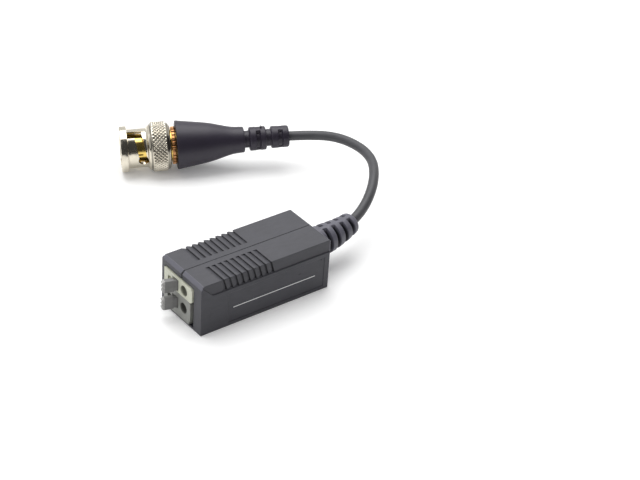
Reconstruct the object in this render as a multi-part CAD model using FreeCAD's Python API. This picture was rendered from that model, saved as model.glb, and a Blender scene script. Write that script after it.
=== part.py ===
import FreeCAD, Part
import math
import os

# Video balun: a two-part housing with a two-pole lever terminal at its front,
# and a short coaxial cord with a bayonet plug at its rear.
# Millimetres. The origin is the centre of the housing's underside,
# +X points towards the cord, +Z up, and the housing halves meet on the plane y = 0.

V = FreeCAD.Vector

# Housing
HOUSING_LENGTH = 41.0
HOUSING_WIDTH = 18.0
HOUSING_HEIGHT = 14.8
WALL = 1.5
FRONT_BEVEL = 0.8
REAR_BEVEL = 0.45
SIDE_BAND_HEIGHT = 3.5
SIDE_BAND_DEPTH = 0.25
LABEL_DEPTH = 0.12
LABEL_MARGIN = 2.0
PARTING_NOTCH = 0.35
PARTING_LINE = 0.12
PEG_RADIUS = 0.35
PEG_LENGTH = 1.3
PEG_CLEARANCE = 0.05

# Grip teeth
TEETH = 9
TOOTH_PITCH = 1.84
TOOTH_WIDTH = 1.2
TOOTH_DEPTH = 0.36
FIRST_TOOTH = 6.95
TOOTH_INNER_END = 1.95
TOOTH_LEAN = 0.3

# Terminal block
BLOCK_OFFSET = 0.75
BLOCK_HEADROOM = 1.1
BLOCK_FAR_GAP = 0.15
BLOCK_PROUD = 0.4
BLOCK_DEPTH = 10.5
BLOCK_GAP = 0.3
BLOCK_LIP = 0.65
POLE_CHAMFER = 0.6
LOWER_POLE_INSET = 0.65
EAR = 1.0
EAR_START = 0.3
EAR_THICKNESS = 1.1
UPPER_AXIS_BELOW_TOP = 2.35
SPLIT_BELOW_UPPER_AXIS = 2.05
LOWER_AXIS_DROP = 0.1
WIRE_OFFSET = -2.4
WIRE_MOUTH_RADIUS = 1.5
WIRE_BORE_RADIUS = 1.2
WIRE_BORE_DEPTH = 3.9
TEST_OFFSET = 4.0
TEST_RADIUS = 1.0
TEST_DEPTH = 1.6

# Terminal levers
LEVER_ANGLE = 17.2
LEVER_REACH = 6.3
LEVER_THICKNESS = 1.4
LEVER_HEIGHT = 3.4
LEVER_NECK_THICKNESS = 1.2
LEVER_NECK_HEIGHT = 2.9
LEVER_NECK_LENGTH = 3.6
LEVER_ARM = 2.1
PIVOT_DEPTH = 2.7
PIVOT_OFFSET = 0.25
PIVOT_RADIUS = 0.55
PIVOT_CLEARANCE = 0.05
PIVOT_LENGTH = 3.6

# Inside the housing
BOARD_THICKNESS = 1.0
BOARD_START = 3.1
BOARD_LENGTH = 31.5
BOARD_SIDE_GAP = 0.15
BOARD_EDGE_GAP = 0.3
BOARD_ROOM = 1.0
CORE_RADIUS = 4.4
CORE_BORE = 2.0
CORE_THICKNESS = 3.2
CORE_STATION = 18.0
WIRE_LAYER = 0.4
SUPPRESSOR_RADIUS = 1.3
SUPPRESSOR_LENGTH = 4.5
SUPPRESSOR_STATION = 26.0
CAPACITOR_LENGTH = 3.8
CAPACITOR_HEIGHT = 4.0
CAPACITOR_DEPTH = 2.45
CAPACITOR_STATION = 24.2
RESISTOR_LENGTH = 2.8
RESISTOR_WIDTH = 1.4
RESISTOR_DEPTH = 0.68
RESISTOR_STATION = 33.0
CORE_HOLE_STATION = 10.0
CORE_HOLE_RISE = 2.1
CORE_HOLE_RADIUS = 0.34
BRAID_HOLE_STATION = 8.8
BRAID_HOLE_DROP = 3.7
BRAID_HOLE_RADIUS = 0.46
STRIP = 0.4
CONTACT_PIN_STATION = 7.6
CONTACT_PIN_HALF = 0.3
CONTACT_HOLE_RADIUS = 0.48
LEAD_PROUD = 0.1

# Cord and strain relief
CORD_DIAMETER = 2.8
CORD_RISE = 0.7
CORD_FIT = 0.05
RELIEF_LENGTH = 15.5
RELIEF_GAP = 0.05
RELIEF_BASE_RADIUS = 4.4
RELIEF_MIDDLE_RADIUS = 4.1
RELIEF_TIP_RADIUS = 3.0
RELIEF_FLANGE_ROOM = 1.3
RELIEF_NECK_RADIUS = 3.6
RELIEF_SLOTS = 5
RELIEF_FIRST_SLOT = 0.45
RELIEF_SLOT_PITCH = 3.0
RELIEF_SLOT_WIDTH = 1.1
RELIEF_SPINE = 2.0
RELIEF_CORE_RADIUS = 1.95

# Plug
NOSE_X = 5.3
NOSE_Y = 71.0
PLUG_TURN = -27.9
SLEEVE_LENGTH = 14.5
RIM_RADIUS = 6.7
RIM_WIDTH = 2.1
BARREL_RADIUS = 5.7
BARREL_END = 7.6
SHOULDER_START = 8.1
SHOULDER_RADIUS = 6.4
GRIP_RADIUS = 7.2
GRIP_START = 8.8
GRIP_END = 13.3
BAND_RADIUS = 6.9
SLEEVE_BORE = 4.95
CHAMBER_RADIUS = 5.9
LIP_START = 12.1
NUT_CLEARANCE = 0.08
SLOT_WIDTH = 2.3
SLOT_ENTRY_ANGLE = 74.4
SLOT_SWEEP = 85.4
SLOT_START = 5.15
SLOT_END = 6.4
DETENT_RADIUS = 1.5
TAIL_RADIUS = 4.5
COLLAR_RADIUS = 5.05
COLLAR_START = 14.8
BOOT_START = 16.1
BOOT_END = 49.25
BOOT_RADIUS = 7.15
BOOT_NECK_RADIUS = 3.75
BOOT_CORE_RADIUS = 2.5
BOOT_NECK_END = 36.15
BOOT_GROOVE = 1.4
BOOT_RING_RADIUS = 3.5
BOOT_SECOND_GROOVE = 42.55
BOOT_TAIL_RADIUS = 3.2
BOOT_SLOT_WIDTH = 1.25
BOOT_SLOTS = (40.15, 46.65)
OUTER_CONTACT_START = 1.3
OUTER_CONTACT_RADIUS = 4.05
OUTER_CONTACT_BORE = 3.45
OUTER_CONTACT_SLIT = 0.44
OUTER_CONTACT_SLIT_END = 6.4
PIN_START = 3.0
PIN_RADIUS = 0.675
PIN_SHOULDER = 8.05
PIN_REAR_RADIUS = 1.05
PIN_END = 18.6
DIELECTRIC_START = 8.0
DIELECTRIC_RADIUS = 2.45
DIELECTRIC_END = 19.8
CRIMP_NECK_RADIUS = 2.0
CRIMP_NECK_START = 4.8
CRIMP_NECK_LENGTH = 6.0
FERRULE_WALL = 0.45
FERRULE_LENGTH = 6.4
FERRULE_TAPER_LENGTH = 5.6
INSULATION_RADIUS = 0.8
CORE_WIRE_RADIUS = 0.26
CORD_END_DEPTH = 5.7

FRONT = -HOUSING_LENGTH / 2
REAR = HOUSING_LENGTH / 2
SIDE = HOUSING_WIDTH / 2
MIDDLE = HOUSING_HEIGHT / 2
BOARD_OFFSET = SIDE - WALL - BOARD_SIDE_GAP - BOARD_THICKNESS
BLOCK_FRONT = FRONT - BLOCK_PROUD
BLOCK_NEAR = BOARD_OFFSET - BOARD_ROOM
BLOCK_FAR = SIDE - WALL - BLOCK_FAR_GAP
BLOCK_BOTTOM = WALL
BLOCK_TOP = HOUSING_HEIGHT - WALL - BLOCK_HEADROOM
UPPER_POLE_AXIS = BLOCK_TOP - UPPER_AXIS_BELOW_TOP
BLOCK_SPLIT = UPPER_POLE_AXIS - SPLIT_BELOW_UPPER_AXIS
LOWER_POLE_AXIS = (BLOCK_BOTTOM + BLOCK_SPLIT) / 2 - LOWER_AXIS_DROP
CORD_RADIUS = CORD_DIAMETER / 2
CORD_HEIGHT = MIDDLE + CORD_RISE
RELIEF_FLANGE_RADIUS = MIDDLE - WALL - RELIEF_FLANGE_ROOM
LIP_RADIUS = TAIL_RADIUS + NUT_CLEARANCE
PLUG_TILT = math.degrees(math.atan((GRIP_RADIUS - RIM_RADIUS) / GRIP_START))
NOSE_Z = RIM_RADIUS * math.cos(math.radians(PLUG_TILT))


def box(x0, x1, y0, y1, z0, z1):
    return Part.makeBox(x1 - x0, y1 - y0, z1 - z0, V(x0, y0, z0))


def rod(radius, start, direction, length):
    return Part.makeCylinder(radius, length, start, direction)


def tube(outer, inner, start, direction, length):
    return rod(outer, start, direction, length).cut(rod(inner, start, direction, length))


def prism(points, along):
    """A flat outline, given as points in order, pushed along a vector."""
    outline = Part.makePolygon(points + [points[0]])
    return Part.Face(outline).extrude(along)


def prism_across(outline, y0, y1):
    """An outline in x and z, pushed along y."""
    return prism([V(x, y0, z) for x, z in outline], V(0, y1 - y0, 0))


def prism_up(outline, z0, z1):
    """An outline in x and y, pushed along z."""
    return prism([V(x, y, z0) for x, y in outline], V(0, 0, z1 - z0))


def turned(outline):
    """An outline in distance and radius, turned about the x axis."""
    points = [V(t, 0, r) for t, r in outline]
    face = Part.Face(Part.makePolygon(points + [points[0]]))
    return face.revolve(V(0, 0, 0), V(1, 0, 0), 360)


def mirrored(shape):
    return shape.mirror(V(0, 0, 0), V(0, 1, 0))


def in_block(shape):
    """Takes a terminal part from the levers' own plane to its place beside the parting plane."""
    return shape.translated(V(0, BLOCK_OFFSET, 0))


def in_plug(shape):
    """Takes a shape from the plug's own frame, nose at the origin and cord along +x, to its place."""
    turn = FreeCAD.Rotation(V(0, 0, 1), PLUG_TURN)
    lean = FreeCAD.Rotation(V(0, 1, 0), -PLUG_TILT)
    placed = shape.copy()
    placed.Placement = FreeCAD.Placement(V(NOSE_X, NOSE_Y, NOSE_Z), turn.multiply(lean))
    return placed


def plug_point(distance):
    turn = FreeCAD.Rotation(V(0, 0, 1), PLUG_TURN)
    lean = FreeCAD.Rotation(V(0, 1, 0), -PLUG_TILT)
    return V(NOSE_X, NOSE_Y, NOSE_Z) + turn.multiply(lean).multVec(V(distance, 0, 0))


# The cord's route: corner points of a line whose corners are rounded.
# The first two lie on the housing's cord axis and the last two on the plug's axis.
CORD_START = REAR - 4.6
ROUTE = [
    V(CORD_START, 0, CORD_HEIGHT),
    V(REAR + 7.3, 0, CORD_HEIGHT),
    V(REAR + 20.2, 3.25, 9.4),
    V(REAR + 30.2, 10.1, 13.2),
    V(REAR + 38.6, 22.1, 13.0),
    V(REAR + 38.3, 35.9, 12.1),
    plug_point(BOOT_END + 4.7),
    plug_point(BOOT_END - CORD_END_DEPTH),
]


def corners(points):
    """Start, end, centre, radius, axis and turn of the arc at each inner corner."""
    arcs = []
    for before, corner, after in zip(points, points[1:], points[2:]):
        run_in = corner - before
        run_out = after - corner
        into = V(run_in).normalize()
        out = V(run_out).normalize()
        turn = into.getAngle(out)
        reach = 0.45 * min(run_in.Length, run_out.Length)
        radius = reach / math.tan(turn / 2)
        inward = (out - into).normalize()
        centre = corner + inward * (radius / math.cos(turn / 2))
        arcs.append((corner - into * reach, corner + out * reach, centre, radius, into.cross(out), turn))
    return arcs


def route_length(points):
    length = 0
    last = points[0]
    for start, end, centre, radius, axis, turn in corners(points):
        length += (start - last).Length + radius * turn
        last = end
    return length + (points[-1] - last).Length


def swept(points, radius):
    """A round bar along a line whose corners are rounded: straight runs joined by bends."""
    pieces = []
    last = points[0]
    for start, end, centre, bend, axis, turn in corners(points):
        run = start - last
        pieces.append(rod(radius, last, run, run.Length))
        face = Part.Face(Part.Wire(Part.makeCircle(radius, start, run)))
        pieces.append(face.revolve(centre, axis, math.degrees(turn)))
        last = end
    run = points[-1] - last
    pieces.append(rod(radius, last, run, run.Length))
    return pieces[0].fuse(pieces[1:])


def route_station(distance):
    """Place and direction on the cord's route, at a distance from its start."""
    last = ROUTE[0]
    for start, end, centre, radius, axis, turn in corners(ROUTE):
        run = start - last
        ahead = V(run).normalize()
        if distance <= run.Length:
            return last + ahead * distance, ahead
        distance -= run.Length
        if distance <= radius * turn:
            bend = FreeCAD.Rotation(axis, math.degrees(distance / radius))
            return centre + bend.multVec(start - centre), bend.multVec(ahead)
        distance -= radius * turn
        last = end


def across(direction):
    """Level and upright directions square to a given one."""
    level = direction.cross(V(0, 0, 1)).normalize()
    return level, level.cross(direction).normalize()


def slot_ring(place, direction, width, inner, outer, spine):
    """A ring left whole along its top and bottom, which cuts a slot in each flank."""
    level, upright = across(direction)
    ring = tube(outer, inner, place - direction * (width / 2), direction, width)
    corner = place - direction * width - level * (spine / 2) - upright * outer
    keep = prism(
        [corner, corner + level * spine, corner + level * spine + upright * (2 * outer),
         corner + upright * (2 * outer)],
        direction * (2 * width),
    )
    return ring.cut(keep)


def tooth_cut(step):
    """The wedge that one grip tooth leaves on the top and down the near side."""
    top = HOUSING_HEIGHT
    face = -SIDE + SIDE_BAND_DEPTH
    above = prism(
        [V(step - TOOTH_WIDTH, -SIDE - 1, top), V(step, -SIDE - 1, top),
         V(step, -SIDE - 1, top - TOOTH_DEPTH)],
        V(0, SIDE + 1 - TOOTH_INNER_END, 0),
    )
    drop = SIDE_BAND_HEIGHT - 0.35
    lean = V(TOOTH_LEAN * drop, 0, -drop)
    outline = [V(step - TOOTH_WIDTH, face, top), V(step, face, top), V(step, face + TOOTH_DEPTH, top)]
    beside = prism(outline, lean)
    return above.fuse(beside)


def housing_half(block_side):
    """The near half: shell, openings and grip teeth; block_side is how far the terminal block reaches."""
    top = HOUSING_HEIGHT
    shell = box(FRONT, REAR, -SIDE, 0, 0, top)
    shell = shell.cut(box(FRONT + WALL, REAR - WALL, -SIDE + WALL, 1, WALL, top - WALL))
    front_bevel = [(FRONT, top), (FRONT + FRONT_BEVEL, top), (FRONT, top - FRONT_BEVEL)]
    rear_bevel = [(REAR, top), (REAR - REAR_BEVEL, top), (REAR, top - REAR_BEVEL)]
    shell = shell.cut(prism_across(front_bevel, -SIDE, 0))
    shell = shell.cut(prism_across(rear_bevel, -SIDE, 0))
    corner = [(REAR, -SIDE), (REAR - REAR_BEVEL, -SIDE), (REAR, -SIDE + REAR_BEVEL)]
    shell = shell.cut(prism_up(corner, 0, top))
    notch = [(FRONT, 0), (FRONT + PARTING_NOTCH, 0), (FRONT, -PARTING_NOTCH)]
    shell = shell.cut(prism_up(notch, top - WALL - FRONT_BEVEL, top))
    seam = [V(FRONT, 0, top - PARTING_LINE), V(FRONT, 0, top), V(FRONT, -PARTING_LINE, top)]
    shell = shell.cut(prism(seam, V(HOUSING_LENGTH, 0, 0)))
    low = top - SIDE_BAND_HEIGHT
    band = [(FRONT, top), (FRONT + SIDE_BAND_HEIGHT, low), (REAR, low), (REAR, top)]
    shell = shell.cut(prism_across(band, -SIDE, -SIDE + SIDE_BAND_DEPTH))
    label = box(FRONT + 8.4, REAR - LABEL_MARGIN, -SIDE, -SIDE + LABEL_DEPTH, 1.0, low - 1.2)
    shell = shell.cut(label)
    bottom = BLOCK_BOTTOM - BLOCK_LIP - BLOCK_GAP
    shell = shell.cut(box(FRONT - 1, FRONT + WALL, -block_side - BLOCK_GAP, 1, bottom, BLOCK_TOP + BLOCK_GAP))
    neck = RELIEF_NECK_RADIUS + CORD_FIT
    shell = shell.cut(rod(neck, V(REAR - 2 * WALL, 0, CORD_HEIGHT), V(1, 0, 0), 3 * WALL))
    for number in range(TEETH):
        shell = shell.cut(tooth_cut(FRONT + FIRST_TOOTH + number * TOOTH_PITCH))
    return shell


def peg_places():
    for x in (FRONT + 12.5, REAR - 9.0):
        for z in (WALL / 2, HOUSING_HEIGHT - WALL / 2):
            yield x, z


def housing_near_half():
    half = housing_half(BLOCK_NEAR)
    for x, z in peg_places():
        half = half.fuse(rod(PEG_RADIUS, V(x, -0.6, z), V(0, 1, 0), PEG_LENGTH + 0.6))
    return half


def housing_far_half():
    """The far half, with the rib behind the terminal block and the holes for the near half's pegs."""
    half = mirrored(housing_half(BLOCK_FAR))
    stop = BLOCK_FRONT + BLOCK_DEPTH + 0.1
    half = half.fuse(box(stop, stop + 1, 3.4, SIDE - WALL + 0.2, WALL - 0.1, HOUSING_HEIGHT - WALL + 0.1))
    hole = PEG_RADIUS + PEG_CLEARANCE
    for x, z in peg_places():
        half = half.cut(rod(hole, V(x, -1, z), V(0, 1, 0), PEG_LENGTH + 1.3))
    return half


def lever_frame(along, sideways):
    """Takes distance along the lever from its pivot, and across it, to x and y."""
    lean = math.radians(LEVER_ANGLE)
    x = BLOCK_FRONT + PIVOT_DEPTH - along * math.cos(lean) + sideways * math.sin(lean)
    y = PIVOT_OFFSET + along * math.sin(lean) + sideways * math.cos(lean)
    return x, y


def terminal_pole(bottom, top, axis, inset, lip):
    """One pole of the block: wire bore, clamp chamber, lever window and test hole."""
    front = BLOCK_FRONT
    near = -BLOCK_NEAR - BLOCK_OFFSET + inset
    far = BLOCK_FAR - BLOCK_OFFSET
    bevel = POLE_CHAMFER
    outline = [(near + bevel, bottom), (far, bottom), (far, top), (near + bevel, top), (near, top - bevel),
               (near, bottom + bevel)]
    body = prism([V(front, y, z) for y, z in outline], V(BLOCK_DEPTH, 0, 0))
    if lip:
        body = body.fuse(box(front, FRONT + WALL - 0.2, near + bevel, far, bottom - lip, bottom + 0.1))
    behind = FRONT + WALL + EAR_START
    ear = box(behind, behind + EAR_THICKNESS, near - inset - EAR, near + 0.5, bottom + bevel, top - bevel)
    body = body.fuse(ear)
    start = V(front, WIRE_OFFSET, axis)
    ahead = V(1, 0, 0)
    body = body.cut(rod(WIRE_MOUTH_RADIUS, start, ahead, 1.2))
    body = body.cut(Part.makeCone(WIRE_MOUTH_RADIUS, WIRE_BORE_RADIUS, 0.8, start + ahead * 1.2, ahead))
    body = body.cut(rod(WIRE_BORE_RADIUS, start, ahead, WIRE_BORE_DEPTH + 0.2))
    inside = front + WIRE_BORE_DEPTH
    body = body.cut(box(inside, front + 9.5, -4.3, 2.9, axis - 1.6, axis + 1.6))
    window = [
        (front - 0.1, 0.15), (front + 2.1, -0.65), (inside + 0.1, -0.85),
        (inside + 0.1, 1.1), (front + PIVOT_DEPTH, 1.25), (front - 0.1, 2.9),
    ]
    high = LEVER_NECK_HEIGHT / 2 + 0.25
    body = body.cut(prism_up(window, axis - high, axis + high))
    x, y = lever_frame(0, 0)
    hole = PIVOT_RADIUS + PIVOT_CLEARANCE
    reach = PIVOT_LENGTH / 2 + 0.1
    body = body.cut(rod(hole, V(x, y, axis - reach), V(0, 0, 1), 2 * reach))
    body = body.cut(rod(TEST_RADIUS, V(front, TEST_OFFSET, axis), ahead, TEST_DEPTH))
    pin = front + CONTACT_PIN_STATION
    half = CONTACT_PIN_HALF + 0.2
    return body.cut(box(pin - half, pin + half, near - 0.1, -4.2, axis - half, axis + half))


def terminal_lever(axis):
    """A lever with a serrated paddle outside, a narrower neck, its pivot and an inner arm."""
    thick = LEVER_THICKNESS / 2
    high = LEVER_HEIGHT / 2
    neck = LEVER_NECK_THICKNESS / 2
    neck_high = LEVER_NECK_HEIGHT / 2

    def plate(outline, half_height):
        return prism_up([lever_frame(a, b) for a, b in outline], axis - half_height, axis + half_height)

    paddle = plate(
        [(LEVER_NECK_LENGTH, -thick), (LEVER_REACH, -thick), (LEVER_REACH, thick),
         (LEVER_NECK_LENGTH, thick)],
        high,
    )
    for z in (axis - high / 3, axis + high / 3):
        notch = [(LEVER_REACH, 0.28), (LEVER_REACH, -0.28), (LEVER_REACH - 0.3, 0)]
        points = []
        for along, rise in notch:
            x, y = lever_frame(along, -thick - 0.1)
            points.append(V(x, y, z + rise))
        ahead = V(*lever_frame(0, 1), 0) - V(*lever_frame(0, 0), 0)
        paddle = paddle.cut(prism(points, ahead * (2 * thick + 0.2)))
    stem_end = LEVER_NECK_LENGTH
    stem = plate([(-0.4, -neck), (stem_end, -neck), (stem_end, neck), (-0.4, neck)], neck_high)
    arm = plate([(-LEVER_ARM, -0.3), (0.2, -0.45), (0.2, neck), (-LEVER_ARM, 0.3)], 1.2)
    x, y = lever_frame(0, 0)
    pivot = rod(PIVOT_RADIUS, V(x, y, axis - PIVOT_LENGTH / 2), V(0, 0, 1), PIVOT_LENGTH)
    return paddle.fuse([stem, arm, pivot])


def terminal_contact(axis):
    """A bent strip that the wire is pressed against, with a pin to the board."""
    front = BLOCK_FRONT
    low = -4.2
    wide = 1.3
    reach = BOARD_OFFSET + BOARD_THICKNESS + LEAD_PROUD + BLOCK_OFFSET
    half = CONTACT_PIN_HALF

    def strip(x0, x1, y0, y1, half_width):
        return box(front + x0, front + x1, y0, y1, axis - half_width, axis + half_width)

    bar = strip(4.1, 9.3, low, low + STRIP, wide)
    back = strip(9.3 - STRIP, 9.3, low, 2.8, wide)
    far = strip(7.2, 9.3, 2.8 - STRIP, 2.8, wide)
    pin = strip(CONTACT_PIN_STATION - half, CONTACT_PIN_STATION + half, -reach, low + 0.1, half)
    return bar.fuse([back, far, pin])


def clamp_spring(axis):
    """A flat spring folded over, whose free leg presses the wire on the contact."""
    front = BLOCK_FRONT
    thin = 0.25
    inner = [(4.3, 2.0), (7.6, 2.0), (8.3, 1.4), (7.8, 0.6), (5.9, -1.4), (6.6, -3.65)]
    outer = [(6.6 + thin, -3.65), (5.9 + 1.3 * thin, -1.4), (7.8 + thin, 0.4), (8.3 + 1.4 * thin, 1.4),
             (7.6 + 0.4 * thin, 2.0 + thin), (4.3, 2.0 + thin)]
    outline = [(front + x, y) for x, y in inner + outer]
    return prism_up(outline, axis - 1.1, axis + 1.1)


# The board and what it carries are drawn on the +Y side here, and build mirrors them to the near side.
def circuit_board():
    start = FRONT + BOARD_START
    low = WALL + BOARD_EDGE_GAP
    high = HOUSING_HEIGHT - WALL - BOARD_EDGE_GAP
    board = box(start, start + BOARD_LENGTH, BOARD_OFFSET, BOARD_OFFSET + BOARD_THICKNESS, low, high)
    holes = [
        (BLOCK_FRONT + CONTACT_PIN_STATION, UPPER_POLE_AXIS, CONTACT_HOLE_RADIUS),
        (BLOCK_FRONT + CONTACT_PIN_STATION, LOWER_POLE_AXIS, CONTACT_HOLE_RADIUS),
        (REAR - CORE_HOLE_STATION, CORD_HEIGHT + CORE_HOLE_RISE, CORE_HOLE_RADIUS),
        (REAR - BRAID_HOLE_STATION, CORD_HEIGHT - BRAID_HOLE_DROP, BRAID_HOLE_RADIUS),
    ]
    for x, z, radius in holes:
        board = board.cut(rod(radius, V(x, BOARD_OFFSET - 0.1, z), V(0, 1, 0), BOARD_THICKNESS + 0.2))
    return board


def core_place():
    return V(FRONT + CORE_STATION, BOARD_OFFSET - 0.1 - WIRE_LAYER - CORE_THICKNESS, MIDDLE)


def balun_core():
    ring = tube(CORE_RADIUS, CORE_BORE, core_place(), V(0, 1, 0), CORE_THICKNESS)
    return ring


def winding(side):
    """A layer of wire round one half of the ring core, open at its two ends."""
    layer = WIRE_LAYER
    place = core_place() - V(0, layer, 0)
    full = tube(CORE_RADIUS + layer, CORE_BORE - layer, place, V(0, 1, 0), CORE_THICKNESS + 2 * layer)
    full = full.cut(tube(CORE_RADIUS + 0.02, CORE_BORE - 0.02, core_place() - V(0, 0.02, 0), V(0, 1, 0),
                         CORE_THICKNESS + 0.04))
    centre = core_place()
    reach = 2 * CORE_RADIUS
    sector = prism(
        [V(centre.x, -10, centre.z), V(centre.x + reach, -10, centre.z + side * 1.2),
         V(centre.x + reach, -10, centre.z + side * reach), V(centre.x - reach, -10, centre.z + side * reach),
         V(centre.x - reach, -10, centre.z + side * 1.2)],
        V(0, 30, 0),
    )
    return full.common(sector)


def surge_suppressor():
    radius = SUPPRESSOR_RADIUS
    place = V(FRONT + SUPPRESSOR_STATION, BOARD_OFFSET - 0.1 - radius, WALL + 0.9)
    return rod(radius, place, V(0, 0, 1), SUPPRESSOR_LENGTH)


def filter_capacitor():
    start = FRONT + CAPACITOR_STATION
    low = MIDDLE + 0.8
    face = BOARD_OFFSET - 0.05
    return box(start, start + CAPACITOR_LENGTH, face - CAPACITOR_DEPTH, face, low, low + CAPACITOR_HEIGHT)


def matching_resistor():
    start = FRONT + RESISTOR_STATION
    low = MIDDLE - 1.8
    face = BOARD_OFFSET - 0.02
    return box(start, start + RESISTOR_WIDTH, face - RESISTOR_DEPTH, face, low, low + RESISTOR_LENGTH)


def bent_lead(points, radius):
    """A thin lead of straight lengths, which overlap a little at its bends."""
    lead = None
    for start, end in zip(points, points[1:]):
        ahead = (end - start).normalize()
        length = (end - start).Length
        piece = rod(radius, start, ahead, length + radius * (0.4 if end != points[-1] else 0))
        lead = lead.fuse(piece) if lead else piece
    return lead


def coax_core_tail():
    """The cord's stripped core: its insulation, then the bare wire that enters the board."""
    bend = V(REAR - 7.2, 0, CORD_HEIGHT)
    end = V(REAR - CORE_HOLE_STATION + 0.4, 2.6, CORD_HEIGHT + CORE_HOLE_RISE - 0.5)
    insulation = bent_lead([V(CORD_START, 0, CORD_HEIGHT), bend, end], 0.75)
    turn = V(REAR - CORE_HOLE_STATION, 3.9, CORD_HEIGHT + CORE_HOLE_RISE)
    hole = V(turn.x, BOARD_OFFSET + BOARD_THICKNESS + LEAD_PROUD, turn.z)
    return insulation.fuse(bent_lead([end, turn, hole], 0.28))


def coax_braid_tail():
    """The cord's braid, twisted into one lead."""
    start = V(CORD_START - 0.2, 0, CORD_HEIGHT - 1.18)
    turn = V(REAR - BRAID_HOLE_STATION, 2.6, CORD_HEIGHT - BRAID_HOLE_DROP)
    hole = V(turn.x, BOARD_OFFSET + BOARD_THICKNESS + LEAD_PROUD, turn.z)
    return bent_lead([start, V(REAR - 7.0, 0, CORD_HEIGHT - 2.3), turn, hole], 0.4)


def coax_cable():
    return swept(ROUTE, CORD_RADIUS)


def relief_radius(along):
    middle = 0.4 * RELIEF_LENGTH
    if along < middle:
        return RELIEF_BASE_RADIUS + (RELIEF_MIDDLE_RADIUS - RELIEF_BASE_RADIUS) * along / middle
    share = (along - middle) / (RELIEF_LENGTH - middle)
    return RELIEF_MIDDLE_RADIUS + (RELIEF_TIP_RADIUS - RELIEF_MIDDLE_RADIUS) * share


def relief_rib(start, end):
    """One tapering ring of the strain relief, between two distances from the housing."""
    place, ahead = route_station(REAR - CORD_START + (start + end) / 2)
    length = end - start
    near_end = place - ahead * (length / 2)
    return Part.makeCone(relief_radius(start), relief_radius(end), length, near_end, ahead)


def strain_relief():
    """A tapering sleeve of ribs on the cord, joined above and below, held by a flange inside the housing."""
    straight = V(1, 0, 0)
    neck_start = V(REAR - WALL - 1.9, 0, CORD_HEIGHT)
    body = rod(RELIEF_NECK_RADIUS, neck_start, straight, WALL + 1.97)
    body = body.fuse(rod(RELIEF_FLANGE_RADIUS, neck_start, straight, 1.7))
    start = RELIEF_GAP
    for number in range(RELIEF_SLOTS + 1):
        slot = RELIEF_FIRST_SLOT + number * RELIEF_SLOT_PITCH
        end = slot if number < RELIEF_SLOTS else RELIEF_LENGTH
        body = body.fuse(relief_rib(start, end))
        if number < RELIEF_SLOTS:
            body = body.fuse(relief_link(slot, slot + RELIEF_SLOT_WIDTH))
        start = slot + RELIEF_SLOT_WIDTH
    return body.cut(swept(ROUTE[:4], CORD_RADIUS + CORD_FIT))


def relief_link(start, end):
    """The core and the upper and lower webs that join one rib of the strain relief to the next."""
    place, ahead = route_station(REAR - CORD_START + (start + end) / 2)
    level, upright = across(ahead)
    reach = end - start + 0.2
    core = rod(RELIEF_CORE_RADIUS, place - ahead * (reach / 2), ahead, reach)
    high = relief_radius(end) - 0.3
    corner = place - ahead * (reach / 2) - level * (RELIEF_SPINE / 2) - upright * high
    web = prism(
        [corner, corner + level * RELIEF_SPINE, corner + level * RELIEF_SPINE + upright * (2 * high),
         corner + upright * (2 * high)],
        ahead * reach,
    )
    return core.fuse(web)


def coupling_sleeve():
    """The plug's bayonet nut: rim, slotted barrel, grip and an inner lip at the rear."""
    nut = turned([
        (0, RIM_RADIUS), (RIM_WIDTH, RIM_RADIUS), (RIM_WIDTH, BARREL_RADIUS), (BARREL_END, BARREL_RADIUS),
        (SHOULDER_START, SHOULDER_RADIUS), (GRIP_START, SHOULDER_RADIUS + 0.35),
        (GRIP_START + 0.4, GRIP_RADIUS),
        (GRIP_END, GRIP_RADIUS), (GRIP_END, BAND_RADIUS), (SLEEVE_LENGTH - 0.4, BAND_RADIUS - 0.25),
        (SLEEVE_LENGTH, BAND_RADIUS - 0.7),
        (SLEEVE_LENGTH, LIP_RADIUS), (LIP_START, LIP_RADIUS), (LIP_START, CHAMBER_RADIUS),
        (GRIP_START + 0.1, CHAMBER_RADIUS), (GRIP_START + 0.1, SLEEVE_BORE),
        (0.35, SLEEVE_BORE), (0, SLEEVE_BORE + 0.35),
    ])
    for opposite in (0, 180):
        nut = nut.cut(bayonet_slot(opposite))
    return nut


def around(distance, radius, angle):
    """A point in the plug's own frame: angle 0 faces the near side and 90 faces up."""
    turn = math.radians(angle)
    return V(distance, -radius * math.cos(turn), radius * math.sin(turn))


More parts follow.
